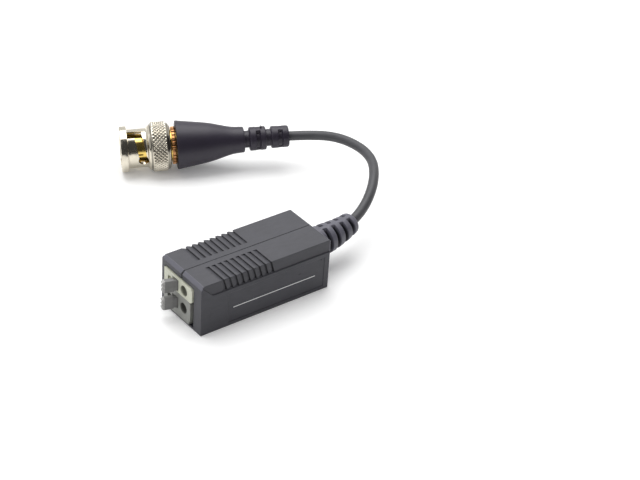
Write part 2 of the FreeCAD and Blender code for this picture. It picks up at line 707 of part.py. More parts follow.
def bayonet_slot(opposite):
    """A straight entry from the rim, a helical run of about a quarter turn, and a round seat."""
    half = SLOT_WIDTH / 2
    wall_in = SLEEVE_BORE - 0.3
    wall_out = BARREL_RADIUS + 0.5
    steps = 5
    sections = []
    for step in range(steps + 1):
        share = step / steps
        distance = SLOT_START + (SLOT_END - SLOT_START) * share
        angle = SLOT_ENTRY_ANGLE - SLOT_SWEEP * share + opposite
        points = [
            around(distance - half, wall_in, angle), around(distance + half, wall_in, angle),
            around(distance + half, wall_out, angle), around(distance - half, wall_out, angle),
        ]
        sections.append(Part.makePolygon(points + [points[0]]))
    helix = Part.makeLoft(sections, True, True)
    entry_turn = SLOT_ENTRY_ANGLE + opposite
    outward = around(0, 1, entry_turn)
    sideways = around(0, 1, entry_turn + 90)

    def channel(x0, x1, r0, r1, width):
        corner = V(x0, 0, 0) + outward * r0 - sideways * (width / 2)
        points = [corner, corner + sideways * width, corner + sideways * width + outward * (r1 - r0),
                  corner + outward * (r1 - r0)]
        return prism(points, V(x1 - x0, 0, 0))

    lead_in = channel(-0.1, RIM_WIDTH + 0.1, wall_in - 0.5, BARREL_RADIUS - 0.02, SLOT_WIDTH + 0.3)
    entry = channel(RIM_WIDTH, SLOT_START + half, wall_in - 0.5, wall_out, SLOT_WIDTH + 0.3)
    seat_turn = SLOT_ENTRY_ANGLE - SLOT_SWEEP + opposite
    seat = rod(DETENT_RADIUS, around(SLOT_END, wall_in - 0.3, seat_turn), around(0, 1, seat_turn), 2.2)
    return helix.fuse([lead_in, entry, seat])


def plug_body():
    """The plug's gilt body: slotted outer contact, flange, bearing for the nut, collar and neck."""
    flange = GRIP_START + 0.2
    crimp = BOOT_START + CRIMP_NECK_START
    crimp_end = crimp + CRIMP_NECK_LENGTH
    radius = OUTER_CONTACT_RADIUS
    bore = INSULATION_RADIUS + 0.05
    seat = DIELECTRIC_RADIUS + 0.05
    body = turned([
        (OUTER_CONTACT_START, radius - 0.3), (OUTER_CONTACT_START + 0.3, radius), (flange, radius),
        (flange, CHAMBER_RADIUS - 0.3), (flange + 1.0, CHAMBER_RADIUS - 0.3), (flange + 1.0, TAIL_RADIUS),
        (COLLAR_START, TAIL_RADIUS), (COLLAR_START, COLLAR_RADIUS), (BOOT_START, COLLAR_RADIUS),
        (BOOT_START, TAIL_RADIUS), (crimp, TAIL_RADIUS), (crimp, CRIMP_NECK_RADIUS),
        (crimp_end, CRIMP_NECK_RADIUS),
        (crimp_end, bore), (DIELECTRIC_END + 0.2, bore), (DIELECTRIC_END + 0.2, seat), (9.6, seat),
        (8.6, OUTER_CONTACT_BORE), (OUTER_CONTACT_START, OUTER_CONTACT_BORE),
    ])
    start = OUTER_CONTACT_START - 0.1
    for turn in (0, 90):
        level = around(0, OUTER_CONTACT_SLIT / 2, turn)
        upright = around(0, 1, turn + 90)
        reach = radius + 0.45
        corner = V(start, 0, 0) - level - upright * reach
        tall = upright * (2 * reach)
        outline = [corner, corner + level * 2, corner + level * 2 + tall, corner + tall]
        body = body.cut(prism(outline, V(OUTER_CONTACT_SLIT_END - start, 0, 0)))
    return body


def plug_dielectric():
    start = DIELECTRIC_START
    bore = PIN_REAR_RADIUS + 0.05
    radius = DIELECTRIC_RADIUS
    return turned([(start, bore), (start, radius - 0.35), (start + 0.6, radius), (DIELECTRIC_END, radius),
                   (DIELECTRIC_END, bore)])


def centre_pin():
    """The pin of the inner contact, thicker behind the dielectric's front."""
    return turned([
        (PIN_START, 0), (PIN_START, 0.2), (PIN_START + 0.7, PIN_RADIUS), (PIN_SHOULDER, PIN_RADIUS),
        (PIN_SHOULDER, PIN_REAR_RADIUS), (PIN_END, PIN_REAR_RADIUS), (PIN_END, 0),
    ])


def gasket():
    inner = OUTER_CONTACT_RADIUS + 0.05
    return tube(SLEEVE_BORE - 0.15, inner, V(GRIP_START - 0.7, 0, 0), V(1, 0, 0), 0.85)


def thrust_washer():
    return tube(CHAMBER_RADIUS - 0.1, LIP_RADIUS, V(LIP_START - 0.75, 0, 0), V(1, 0, 0), 0.7)


def wave_washer():
    """A thin ring with three waves between the body's flange and the thrust washer."""
    thin = 0.3
    inner = TAIL_RADIUS + 0.2
    outer = CHAMBER_RADIUS - 0.3
    start = GRIP_START + 1.22
    rise = LIP_START - 0.8 - start - thin
    steps = 12
    halves = []
    for first in (0, steps):
        sections = []
        for step in range(first, first + steps + 1):
            turn = 180 * step / steps
            low = start + rise * (0.5 - 0.5 * math.cos(math.radians(3 * turn)))
            points = [around(low, inner, turn), around(low, outer, turn), around(low + thin, outer, turn),
                      around(low + thin, inner, turn)]
            sections.append(Part.makePolygon(points + [points[0]]))
        halves.append(Part.makeLoft(sections, True, True))
    return halves[0].fuse(halves[1])


def crimp_ferrule():
    start = BOOT_START + CRIMP_NECK_START + 0.2
    end = start + FERRULE_LENGTH
    tip = end + FERRULE_TAPER_LENGTH
    inner = CRIMP_NECK_RADIUS + 0.05
    outer = inner + FERRULE_WALL
    cord = CORD_RADIUS + CORD_FIT
    return turned([
        (start, inner), (start, outer), (end, outer), (tip, cord + FERRULE_WALL), (tip, cord), (end, cord),
        (end, inner),
    ])


def coax_plug_end():
    """The cord's last length inside the boot: jacket, insulation and the wire behind the centre pin."""
    jacket = BOOT_START + CRIMP_NECK_START + 0.2 + FERRULE_LENGTH + 0.6
    wire = CORE_WIRE_RADIUS
    core = INSULATION_RADIUS
    end = BOOT_END - CORD_END_DEPTH
    return turned([
        (PIN_END + 0.05, 0), (PIN_END + 0.05, wire), (DIELECTRIC_END + 0.4, wire),
        (DIELECTRIC_END + 0.4, core),
        (jacket, core), (jacket, CORD_RADIUS), (end, CORD_RADIUS), (end, 0),
    ])


def plug_boot():
    """A tapering boot with a grooved, slotted tail."""
    front = BOOT_START + 0.05
    core = BOOT_CORE_RADIUS
    hole = CORD_RADIUS + CORD_FIT
    neck_end = BOOT_NECK_END
    groove = BOOT_SECOND_GROOVE
    socket_end = BOOT_START + CRIMP_NECK_START + 0.15
    socket = TAIL_RADIUS + 0.05
    sleeve = CRIMP_NECK_RADIUS + 0.05 + FERRULE_WALL + 0.3
    boot = turned([
        (front, BOOT_RADIUS), (BOOT_START + 9.3, 5.8), (BOOT_START + 12.6, 5.05), (BOOT_START + 16.4, 4.0),
        (neck_end, BOOT_NECK_RADIUS), (neck_end, core), (neck_end + BOOT_GROOVE, core),
        (neck_end + BOOT_GROOVE, BOOT_RING_RADIUS), (groove, BOOT_RING_RADIUS), (groove, core),
        (groove + BOOT_GROOVE, core), (groove + BOOT_GROOVE, BOOT_TAIL_RADIUS), (BOOT_END, BOOT_TAIL_RADIUS),
        (BOOT_END, hole), (34.0, hole), (34.0, sleeve), (socket_end, sleeve), (socket_end, socket),
        (front, socket),
    ])
    ahead = V(1, 0, 0)
    spine = RELIEF_SPINE + 0.6
    for distance in BOOT_SLOTS:
        boot = boot.cut(slot_ring(ahead * distance, ahead, BOOT_SLOT_WIDTH, core, BOOT_NECK_RADIUS, spine))
    return boot


def build():
    poles = (
        ("cream", "upper", BLOCK_SPLIT, BLOCK_TOP, UPPER_POLE_AXIS, 0, 0),
        ("grey", "lower", BLOCK_BOTTOM, BLOCK_SPLIT, LOWER_POLE_AXIS, LOWER_POLE_INSET, BLOCK_LIP),
    )
    nodes = {
        "housing_near_half": housing_near_half(),
        "housing_far_half": housing_far_half(),
        "winding_upper": mirrored(winding(1)),
        "winding_lower": mirrored(winding(-1)),
        "coax_cable": coax_cable(),
        "strain_relief": strain_relief(),
    }
    for make in (circuit_board, balun_core, surge_suppressor, filter_capacitor, matching_resistor,
                 coax_core_tail, coax_braid_tail):
        nodes[make.__name__] = mirrored(make())
    for colour, level, bottom, top, axis, inset, lip in poles:
        nodes["terminal_pole_" + colour] = in_block(terminal_pole(bottom, top, axis, inset, lip))
        nodes["lever_" + level] = in_block(terminal_lever(axis))
        nodes["contact_" + level] = in_block(terminal_contact(axis))
        nodes["clamp_spring_" + level] = in_block(clamp_spring(axis))
    for make in (coupling_sleeve, plug_body, plug_dielectric, centre_pin, gasket, thrust_washer, wave_washer,
                 crimp_ferrule, coax_plug_end, plug_boot):
        nodes[make.__name__] = in_plug(make())
    return nodes


def report_cord(cable):
    length = route_length(ROUTE)
    print("cord length %.2f" % length)
    print("cord corner radii", ", ".join("%.1f" % arc[3] for arc in corners(ROUTE)))
    print("cord runs", ", ".join("%.1f" % (b - a).Length for a, b in zip(ROUTE, ROUTE[1:])))
    section = math.pi * CORD_RADIUS ** 2
    print("cord volume %.1f against section times length %.1f" % (cable.Volume, section * length))


def main():
    os.makedirs("parts", exist_ok=True)
    nodes = build()
    report_cord(nodes["coax_cable"])
    for name, shape in nodes.items():
        if not shape.isValid() or len(shape.Solids) != 1:
            print("look at", name, "valid", shape.isValid(), "solids", len(shape.Solids))
        shape.exportStep("parts/" + name + ".step")
    print(len(nodes), "nodes")


main()
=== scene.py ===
import math

import bmesh
import bpy
from bpy.props import FloatProperty, FloatVectorProperty, IntProperty, PointerProperty
from mathutils import Matrix, Vector


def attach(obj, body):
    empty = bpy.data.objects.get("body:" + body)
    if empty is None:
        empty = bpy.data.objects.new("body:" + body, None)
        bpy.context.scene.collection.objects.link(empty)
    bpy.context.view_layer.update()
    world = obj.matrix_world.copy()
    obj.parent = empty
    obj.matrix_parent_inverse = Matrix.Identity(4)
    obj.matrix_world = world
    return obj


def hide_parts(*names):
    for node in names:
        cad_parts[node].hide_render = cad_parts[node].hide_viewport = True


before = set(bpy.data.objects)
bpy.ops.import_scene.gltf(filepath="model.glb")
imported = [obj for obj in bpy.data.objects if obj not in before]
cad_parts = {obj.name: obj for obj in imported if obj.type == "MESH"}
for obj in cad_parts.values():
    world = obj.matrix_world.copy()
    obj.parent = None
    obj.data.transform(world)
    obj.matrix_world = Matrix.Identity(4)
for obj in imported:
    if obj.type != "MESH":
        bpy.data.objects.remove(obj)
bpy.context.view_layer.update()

bl_info = {
    "name": "Video Balun",
    "version": (1, 0, 0),
    "blender": (4, 5, 0),
    "location": "View3D > Sidebar > Balun",
    "description": "Dresses a video balun: housing, lever terminal, cord and bayonet plug",
    "category": "Object",
}

MM = 0.001

# The cord's control points, from inside the housing to inside the plug's boot, in millimetres.
CORD_ROUTE = [
    (15.9, 0.0, 8.1), (27.8, 0.0, 8.1), (40.7, 3.25, 9.4), (50.7, 10.1, 13.2),
    (59.1, 22.1, 13.0), (58.8, 35.9, 12.1), (52.902, 45.796, 9.75), (43.726, 50.654, 9.16),
]

# Places on the frame's own shapes that the paint and the small trim follow. Depths are behind the terminal end, sides
# are distances from the parting plane, and levels are heights above the underside.
HOUSING_HEIGHT = 14.8 * MM
FRONT_BEVEL = 0.8 * MM
REAR_BEVEL = 0.45 * MM
FIRST_TOOTH_DEPTH = 6.95 * MM
TOOTH_PITCH = 1.84 * MM
TOOTH_COUNT = 9
TOOTH_SIDE = 1.95 * MM
TOOTH_LEAN = 0.3
POLE_DEPTH = -0.4 * MM
UPPER_LEVEL = 9.85 * MM
LOWER_LEVEL = 4.55 * MM
WIRE_SIDE = -1.65 * MM
WIRE_MOUTH = 1.5 * MM
LEVER_DEPTH = 2.3 * MM
LEVER_SIDE = 1.0 * MM
LEVER_LEAN = math.radians(17.2)
LEVER_REACH = 6.15 * MM

# A ridge on a lever's end: distances out of the end face and heights, in millimetres.
RIDGE_OUTLINE = [(0.0, -0.55), (0.15, -0.5), (0.57, -0.12), (0.57, 0.12), (0.15, 0.5), (0.0, 0.55)]

# The moulding dots: their centres along the housing and above its underside, then the radii and heights of a dot's
# foot and crown, in millimetres.
DOT_CENTRES = ((10.67, 7.46), (17.55, 9.49))
DOT_OUTLINE = ((0.26, -0.05), (0.14, 0.12))

# The strain relief inside the housing: distances from the housing's wall and radii, in millimetres. Then the share of
# its length at which the taper steepens, the length that stays straight, and the bend beyond it per squared metre.
RELIEF_ROOT = [(-3.3, 4.6), (-1.65, 4.6), (-1.6, 3.6), (-0.02, 3.6)]
RELIEF_MIDDLE = 0.4
RELIEF_STRAIGHT = 5.5 * MM
RELIEF_BEND = 11.8

# Outlines about the plug's axis: distances behind the plug's nose and radii, in millimetres.
BOOT_PROFILE = [
    (16.17, 6.75), (16.21, 7.0), (16.35, 7.14), (16.7, 7.1), (18.5, 6.83), (20.5, 6.54), (22.5, 6.25),
    (24.5, 5.95), (25.6, 5.75), (26.7, 5.52), (27.7, 5.27), (28.7, 5.0), (29.8, 4.7), (30.9, 4.4),
    (32.0, 4.14), (32.8, 4.0), (33.8, 3.9), (35.0, 3.83), (35.85, 3.76), (36.02, 3.62), (36.12, 3.3),
    (36.15, 2.5), (37.55, 2.5), (37.58, 3.05), (37.7, 3.36), (37.95, 3.5), (42.15, 3.46), (42.4, 3.34),
    (42.52, 3.05), (42.55, 2.5), (43.95, 2.5), (43.98, 2.9), (44.1, 3.14), (44.35, 3.25), (48.75, 3.18),
    (49.05, 3.08), (49.2, 2.88), (49.25, 2.6),
]
NUT_OUTLINE = [
    (0.0, 6.7), (2.1, 6.7), (2.1, 5.7), (7.6, 5.7), (8.1, 6.4), (8.8, 6.75), (9.2, 7.2), (13.3, 7.2),
    (13.3, 6.9), (14.1, 6.65), (14.5, 6.2), (14.5, 4.58), (12.1, 4.58), (12.1, 5.9), (8.9, 5.9),
    (8.9, 4.95), (0.35, 4.95), (0.0, 5.3),
]
COLLAR_OUTLINE = [(14.86, 5.06), (14.86, 5.42), (15.0, 5.5), (15.9, 5.5), (16.04, 5.42), (16.04, 5.06)]

# The ends of the nut's knurled grip and its radius, in millimetres.
GRIP_START = 9.25
GRIP_END = 13.25
GRIP_RADIUS = 7.2


def colour(name, description, value):
    return FloatVectorProperty(
        name=name, description=description, subtype="COLOR", size=3, default=value, min=0.0, max=1.0)


def length(name, description, millimetres):
    return FloatProperty(
        name=name, description=description, subtype="DISTANCE", unit="LENGTH", default=millimetres * MM, min=0.0,
        precision=5)


def angle(name, description, degrees):
    return FloatProperty(
        name=name, description=description, subtype="ANGLE", unit="ROTATION", default=math.radians(degrees))


def amount(name, description, value, most=100.0):
    return FloatProperty(name=name, description=description, default=value, min=0.0, max=most)


class BalunHousingSettings(bpy.types.PropertyGroup):
    """Sizes and colours of the housing and its terminal."""

    half_length: length("Half length", "Half of the housing's length", 20.5)
    half_width: length("Half width", "Half of the housing's width", 9.0)
    label_depth: length("Label depth", "Depth of the label's recess below the widest part of the side", 0.12)
    rule_height: length("Rule height", "Height of the printed rule above the underside", 5.2)
    rule_width: length("Rule width", "Width of the printed rule", 0.22)
    rule_start: length("Rule start", "Distance of the rule from the terminal end", 10.0)
    rule_end: length("Rule end", "Distance of the rule's other end from the terminal end", 36.1)
    edge_radius: length("Edge radius", "Softness of the moulded edges", 0.28)
    shell_colour: colour("Shell", "Moulded housing", (0.0505, 0.0505, 0.061))
    print_colour: colour("Print", "Printed rule", (0.9, 0.9, 0.9))
    cream_colour: colour("Cream pole", "Upper terminal pole", (0.60, 0.61, 0.50))
    grey_colour: colour("Grey pole", "Lower terminal pole", (0.25, 0.255, 0.235))
    lever_colour: colour("Levers", "Terminal levers", (0.185, 0.183, 0.18))


class BalunCordSettings(bpy.types.PropertyGroup):
    """Sizes and colours of the cord and its strain relief."""

    cord_diameter: length("Cord diameter", "Outside diameter of the coaxial cord", 2.8)
    cord_length: length("Cord length", "Length of the cord's centreline", 87.26)
    relief_length: length("Relief length", "Length of the strain relief outside the housing", 15.5)
    relief_base: length("Relief base radius", "Radius at the housing", 4.4)
    relief_middle: length("Relief middle radius", "Radius where the taper steepens", 4.1)
    relief_tip: length("Relief tip radius", "Radius at the free end", 3.0)
    relief_core: length("Relief core radius", "Radius left between the ribs", 1.7)
    relief_web: length("Relief web width", "Width of the upper and lower webs", 1.5)
    relief_web_shift: length("Relief web shift", "Shift of the webs towards the near side", 0.3)
    first_slot: length("First slot", "Distance of the first slot from the housing", 0.45)
    slot_pitch: length("Slot pitch", "Distance from slot to slot", 3.0)
    slot_width: length("Slot width", "Width of a slot", 1.3)
    slot_count: IntProperty(name="Slots", description="Number of slots on each flank", default=5, min=1)
    cord_colour: colour("Cord", "Cord jacket", (0.053, 0.053, 0.059))
    relief_colour: colour("Strain relief", "Soft moulding at the housing", (0.117, 0.115, 0.144))


class BalunPlugSettings(bpy.types.PropertyGroup):
    """Sizes and colours of the bayonet plug."""

    nose: FloatVectorProperty(
        name="Nose", description="Centre of the plug's front rim", subtype="TRANSLATION", unit="LENGTH", size=3,
        default=(0.0053, 0.071, 0.0066892))
    turn: angle("Turn", "Direction of the plug in plan", -27.9)
    tilt: angle("Tilt", "Lift of the plug's axis towards the cord", 3.252)
    knurl_count: IntProperty(name="Knurl teeth", description="Diamonds round the grip", default=40, min=8)
    knurl_depth: length("Knurl depth", "Depth of the grip's diamonds", 0.26)
    slot_width: length("Bayonet slot width", "Width of the helical slots", 2.3)
    collar_teeth: IntProperty(name="Collar teeth", description="Teeth round the collar", default=24, min=6)
    nickel_colour: colour("Nickel", "Plated coupling nut", (0.70, 0.65, 0.545))
    gilt_colour: colour("Gilt", "Plated body and pin", (0.80, 0.58, 0.16))
    collar_colour: colour("Collar", "Plated collar behind the nut", (0.52, 0.26, 0.11))
    boot_colour: colour("Boot", "Soft moulding of the plug", (0.022, 0.017, 0.031))
    insulator_colour: colour("Insulator", "Plug insulator", (0.82, 0.82, 0.80))


class BalunInnerSettings(bpy.types.PropertyGroup):
    """Sizes and colours of what the housing hides."""

    turns: IntProperty(name="Turns", description="Wire turns in each winding", default=11, min=2)
    wire_radius: length("Wire radius", "Radius of the winding wire", 0.2)
    board_colour: colour("Board", "Coated laminate", (0.02, 0.13, 0.05))
    ferrite_colour: colour("Ferrite", "Ring core", (0.035, 0.035, 0.038))
    wire_colour: colour("Winding wire", "Enamelled wire", (0.42, 0.13, 0.04))
    tin_colour: colour("Tinned metal", "Contacts and leads", (0.62, 0.62, 0.60))
    part_colour: colour("Component bodies", "Dipped coatings", (0.03, 0.08, 0.26))


class BalunStageSettings(bpy.types.PropertyGroup):
    """The camera, the floor and the lamps."""

    lens: FloatProperty(name="Lens", description="Focal length of the camera", default=95.625, min=10.0)
    floor_colour: colour("Floor", "Table top", (0.97, 0.97, 0.97))
    floor_bounce: amount("Bounce", "Share of its colour that the table top casts back on the part", 0.7, 1.0)
    shadow_lift: amount("Shadow lift", "Brightness that the table top keeps in the shadows", 0.1, 1.0)
    key_power: amount("Key lamp", "Power of the softbox overhead", 6.4)
    side_power: amount("Side lamp", "Power of the softbox at the side", 1.1)
    sky_strength: amount("Surround", "Strength of the even light", 0.5)
    sky_lean: amount("Lean", "How much brighter the surround is at the terminal end", 0.75, 0.75)
    sky_back: amount("Back", "How much brighter the surround is behind the part", 0.2, 0.2)
    mirror_strength: amount("Dark room", "Strength of what glossy surfaces mirror on the camera's side", 0.05)
    sweep_strength: amount("Sweep", "Strength of the white sweep that they mirror behind the part", 0.85)


class Signal:
    """A node socket that can be used in sums, so that the maths of a tree reads as plain expressions."""

    def __init__(self, tree, socket=None):
        self.tree = tree
        self.socket = socket

    def node(self, kind, settings=None, sockets=None, output=0):
        """Adds a node of any type: settings first, then values or signals for its sockets."""
        made = self.tree.nodes.new(kind)
        for name, value in (settings or {}).items():
            if name == "items":
                for item_kind, item_name in value:
                    made.capture_items.new(item_kind, item_name)
            else:
                setattr(made, name, value)
        for name, value in (sockets or {}).items():
            if isinstance(value, Signal):
                self.tree.links.new(value.socket, made.inputs[name])
            else:
                made.inputs[name].default_value = value
        return Signal(self.tree, made.outputs[output])

    def output(self, name):
        return Signal(self.tree, self.socket.node.outputs[name])

    def maths(self, operation, *values):
        return self.node("ShaderNodeMath", {"operation": operation}, dict(enumerate(values)))

    def __add__(self, other):
        return self.maths("ADD", self, other)

    def __radd__(self, other):
        return self.maths("ADD", other, self)

    def __sub__(self, other):
        return self.maths("SUBTRACT", self, other)

    def __rsub__(self, other):
        return self.maths("SUBTRACT", other, self)

    def __mul__(self, other):
        return self.maths("MULTIPLY", self, other)

    def __rmul__(self, other):
        return self.maths("MULTIPLY", other, self)

    def __truediv__(self, other):
        return self.maths("DIVIDE", self, other)

    def __abs__(self):
        return self.maths("ABSOLUTE", self)

    def between(self, low, high):
        """0 below low, 1 above high, and a smooth rise from one to the other."""
        return self.node(
            "ShaderNodeMapRange", {"interpolation_type": "SMOOTHSTEP"},
            {"Value": self, "From Min": low, "From Max": high, "To Min": 0.0, "To Max": 1.0})

    def within(self, low, high, end, beyond):
        """1 from high to end, with a smooth rise from low and a smooth fall to 0 at beyond."""
        return self.between(low, high) * (1.0 - self.between(end, beyond))


def shade(values, factor):
    return tuple(min(1.0, v * factor) for v in values) + (1.0,)


def new_material(name):
    """A material with an empty tree, and the place that its textures start from."""
    material = bpy.data.materials.new(name)
    material.use_nodes = True
    material.node_tree.nodes.clear()
    return material, Signal(material.node_tree).node("ShaderNodeTexCoord").output("Object")


def finished(material, sockets):
    """Ends a material's tree with a surface of the given values and signals."""
    surface = Signal(material.node_tree).node("ShaderNodeBsdfPrincipled", None, sockets)
    end = material.node_tree.nodes.new("ShaderNodeOutputMaterial")
    material.node_tree.links.new(surface.socket, end.inputs["Surface"])
    return material


def blend_colours(factor, first, second):
    return factor.node("ShaderNodeMix", {"data_type": "RGBA"}, {0: factor, 6: first, 7: second}, output=2)


def noise(place, scale, detail=3.0, roughness=0.55):
    return place.node(
        "ShaderNodeTexNoise", None, {"Vector": place, "Scale": scale, "Detail": detail, "Roughness": roughness})


def stretched(place, scale):
    return place.node("ShaderNodeMapping", None, {"Vector": place, "Scale": scale})


def bumped(height, strength, distance, edge=0.0):
    """The normal of a fine relief, whose depth is in millimetres, with softened edges on request."""
    sockets = {"Strength": strength, "Distance": distance * MM, "Height": height}
    if edge:
        sockets["Normal"] = height.node("ShaderNodeBevel", {"samples": 6}, {"Radius": edge})
    return height.node("ShaderNodeBump", None, sockets)


def moulding(name, base, roughness, grain, edge=0.0, speck=0.0, coat=0.0, sheen=0.5, painted_shade=None, painted_highlight=None):
    """Moulded plastic: a fine eroded grain, faint flow marks, handled patches and, on request, softened edges.

    The painted shade and painted highlight masks are functions of the place's three coordinates. They give 1 where
    shade is painted into the colour as a darker tone and where a highlight is painted in as a lighter tone.
    """
    material, place = new_material(name)
    cloud = noise(place, 160.0, 4.0)
    fine = noise(place, 9000.0, 2.0, 0.6)
    flow = noise(stretched(place, (0.35, 1.0, 1.0)), 900.0, 2.0)
    tone = cloud.between(0.3, 0.7) * 0.6 + flow.between(0.35, 0.65) * 0.4
    paint = blend_colours(tone, shade(base, 0.9), shade(base, 1.1))
    if speck:
        dust = noise(place, 2600.0, 1.0).between(0.68, 0.76) * speck
        paint = blend_colours(dust, paint, shade(base, 2.4))
    split = place.node("ShaderNodeSeparateXYZ", None, {0: place})
    spot = [split.output(axis) for axis in "XYZ"]
    # Painted highlight: where the mask gives 1 the colour is lightened, standing in for light that catches the
    # surface.
    if painted_highlight:
        paint = blend_colours(painted_highlight(*spot), paint, shade(base, 2.3))
    # Painted shade: where the mask gives 1 the colour is darkened, standing in for shade in gaps, holes and slots.
    if painted_shade:
        paint = blend_colours(painted_shade(*spot), paint, shade(base, 0.16))
    return finished(material, {
        "Base Color": paint, "Roughness": roughness - 0.05 + cloud * 0.06 + fine * 0.05,
        "Normal": bumped(fine * 0.7 + flow * 0.5, 0.6, grain, edge), "Coat Weight": coat, "Coat Roughness": 0.35,
        "Specular IOR Level": sheen})


def groove(paces):
    """1 on the lines where a count of paces is whole, falling to 0 beside them."""
    beside = abs(paces.maths("FRACT", paces + 0.5) - 0.5)
    return 1.0 - beside.between(0.1, 0.32)


def plated(name, base, roughness, axis=((0.0, 0.0, 0.0), 0.0, 0.0), edge=0.0, knurl_count=0):
    """Bright plating with fine lathe marks round an axis, faint tarnish, small handling marks and, on a knurl,
    painted shade: its grooves and the rings at the grip's ends are darkened in the colour.

    The axis is given by its origin, tilt and turn.
    """
    material, place = new_material(name)
    origin, tilt, turn = axis
    along = place.node("ShaderNodeMapping", {"vector_type": "TEXTURE"}, {
        "Vector": place, "Location": origin, "Rotation": (0.0, -tilt, turn)})
    split = place.node("ShaderNodeSeparateXYZ", None, {0: along})
    ahead = split.output("X")
    lathe = noise(place.node("ShaderNodeCombineXYZ", None, {"X": ahead * 9.0}), 900.0)
    tarnish = noise(place, 420.0, 4.0)
    marks = noise(stretched(along, (1.0, 6.0, 6.0)), 800.0, 2.0).between(0.6, 0.8)
    paint = blend_colours(tarnish.between(0.35, 0.75), shade(base, 1.03), shade(base, 0.9))
    if knurl_count:
        # Painted shade: the knurl's grooves and two rings at the grip's ends are darkened in the colour.
        pit_shade = shade(base, 0.12)
        start = GRIP_START * MM
        end = GRIP_END * MM
        paces = knurl_count / 2 / math.pi
        around = ahead.maths("ARCTAN2", split.output("Z"), -1.0 * split.output("Y")) * paces
        onward = ahead * (paces / GRIP_RADIUS / MM)
        first = groove(around + onward)
        second = groove(around - onward)
        pits = first * second + (first + second) * 0.22
        grip = ahead.within(start, start + 0.1 * MM, end - 0.1 * MM, end)
        before = ahead.within(*[start - gap * MM for gap in (0.75, 0.55, 0.25, 0.05)])
        behind = ahead.within(*[end + gap * MM for gap in (0.15, 0.3, 0.7, 0.9)])
        paint = blend_colours(pits * grip * 0.5, paint, pit_shade)
        paint = blend_colours((before + behind) * 0.65, paint, pit_shade)
    return finished(material, {
        "Base Color": paint, "Metallic": 1.0, "Roughness": roughness + tarnish * 0.08 + marks * 0.05,
        "Normal": bumped(lathe + marks * 0.4, 0.35, 0.012, edge)})


def jacket(name, base):
    """Extruded cord jacket: soft sheen, faint patches and a fine grain."""
    material, place = new_material(name)
    cloud = noise(place, 300.0, 4.0)
    fine = noise(place, 7000.0, 2.0)
    return finished(material, {
        "Base Color": blend_colours(cloud.between(0.3, 0.7), shade(base, 0.9), shade(base, 1.12)),
        "Roughness": 0.42 + cloud * 0.12, "Normal": bumped(fine + cloud * 0.6, 0.5, 0.015)})


def laminate(name, base):
    """Circuit board: coated laminate with raised tracks under the coating."""
    material, place = new_material(name)
    upright = place.node("ShaderNodeMapping", None, {"Vector": place, "Rotation": (math.pi / 2, 0.0, 0.0)})
    black = (0.0, 0.0, 0.0, 1.0)
    tracks = place.node("ShaderNodeTexBrick", {"offset": 0.5}, {
        "Vector": upright, "Scale": 230.0, "Mortar Size": 0.06, "Color1": black, "Color2": black,
        "Mortar": (1.0, 1.0, 1.0, 1.0)}, output=1)
    weave = noise(place, 5000.0, 2.0)
    return finished(material, {
        "Base Color": blend_colours(tracks, shade(base, 1.0), shade(base, 1.8)), "Roughness": 0.32 + weave * 0.08,
        "Normal": bumped(tracks + weave * 0.2, 0.5, 0.03)})


def depth_of(x):
    """Distance behind the terminal end."""
    return x + bpy.context.scene.balun_housing.half_length


def housing_gap_shade(x, y, z):
    """Painted shade in the joint between the halves, in its notch at the terminal end, and at the grip teeth's feet.
    """
    aside = abs(y)
    below = HOUSING_HEIGHT - z
    line = 1.0 - aside.between(0.05 * MM, 0.13 * MM)
    notch = (1.0 - aside.between(0.2 * MM, 0.34 * MM)) * (1.0 - below.between(2.2 * MM, 2.8 * MM))
    notch = notch * (1.0 - depth_of(x).between(FRONT_BEVEL, FRONT_BEVEL + 0.4 * MM))
    joint = line.maths("MAXIMUM", line * 0.7, notch)
    paces = (depth_of(x) - below * TOOTH_LEAN - FIRST_TOOTH_DEPTH) / TOOTH_PITCH
    foot = paces.maths("FRACT", paces - 0.05).between(0.78, 0.88)
    toothed = paces.within(-0.4, -0.3, TOOTH_COUNT - 0.8, TOOTH_COUNT - 0.7)
    inwards = bpy.context.scene.balun_housing.half_width - aside
    sunk = below.between(0.1 * MM, 0.2 * MM) * inwards.between(0.14 * MM, 0.2 * MM)
    outside = aside.between(TOOTH_SIDE - 0.05 * MM, TOOTH_SIDE)
    return joint.maths("MAXIMUM", joint, foot * toothed * sunk * outside * 0.9)


def housing_edge_highlights(x, y, z):
    """Painted highlights on the bevel at the terminal end and on the edges at the cord's end, where light catches
    them.
    """
    below = HOUSING_HEIGHT - z
    beside = abs(depth_of(x) + below - FRONT_BEVEL)
    bevel = (1.0 - beside.between(0.06 * MM, 0.14 * MM)) * (
        1.0 - below.between(FRONT_BEVEL + 0.1 * MM, FRONT_BEVEL + 0.3 * MM))
    corner = bpy.context.scene.balun_housing.half_length - REAR_BEVEL
    return bevel.maths("MAXIMUM", bevel, x.between(corner - 0.1 * MM, corner - 0.02 * MM))


def lever_end_highlight(x, y, z):
    """A painted highlight on the outer end of a lever, where its end faces catch the light."""
    along = (y - LEVER_SIDE) * math.sin(LEVER_LEAN) + (LEVER_DEPTH - depth_of(x)) * math.cos(LEVER_LEAN)
    return along.between(LEVER_REACH - 0.3 * MM, LEVER_REACH - 0.05 * MM)


def distance_from(y, z, side, level):
    """Distance of a place from a line that runs lengthwise at the given side and level."""
    offset = y.node("ShaderNodeCombineXYZ", None, {"Y": y - side, "Z": z - level})
    return y.node("ShaderNodeVectorMath", {"operation": "LENGTH"}, {0: offset}, output=1)


def wire_hole_shade(level):
    """Painted shade inside a terminal's wire hole, whose axis lies at the given height."""

    def shaded(x, y, z):
        mouth = 1.0 - distance_from(y, z, WIRE_SIDE, level).between(WIRE_MOUTH, WIRE_MOUTH + 0.06 * MM)
        return depth_of(x).between(POLE_DEPTH + 0.02 * MM, POLE_DEPTH + 0.6 * MM) * mouth * 0.75

    return shaded


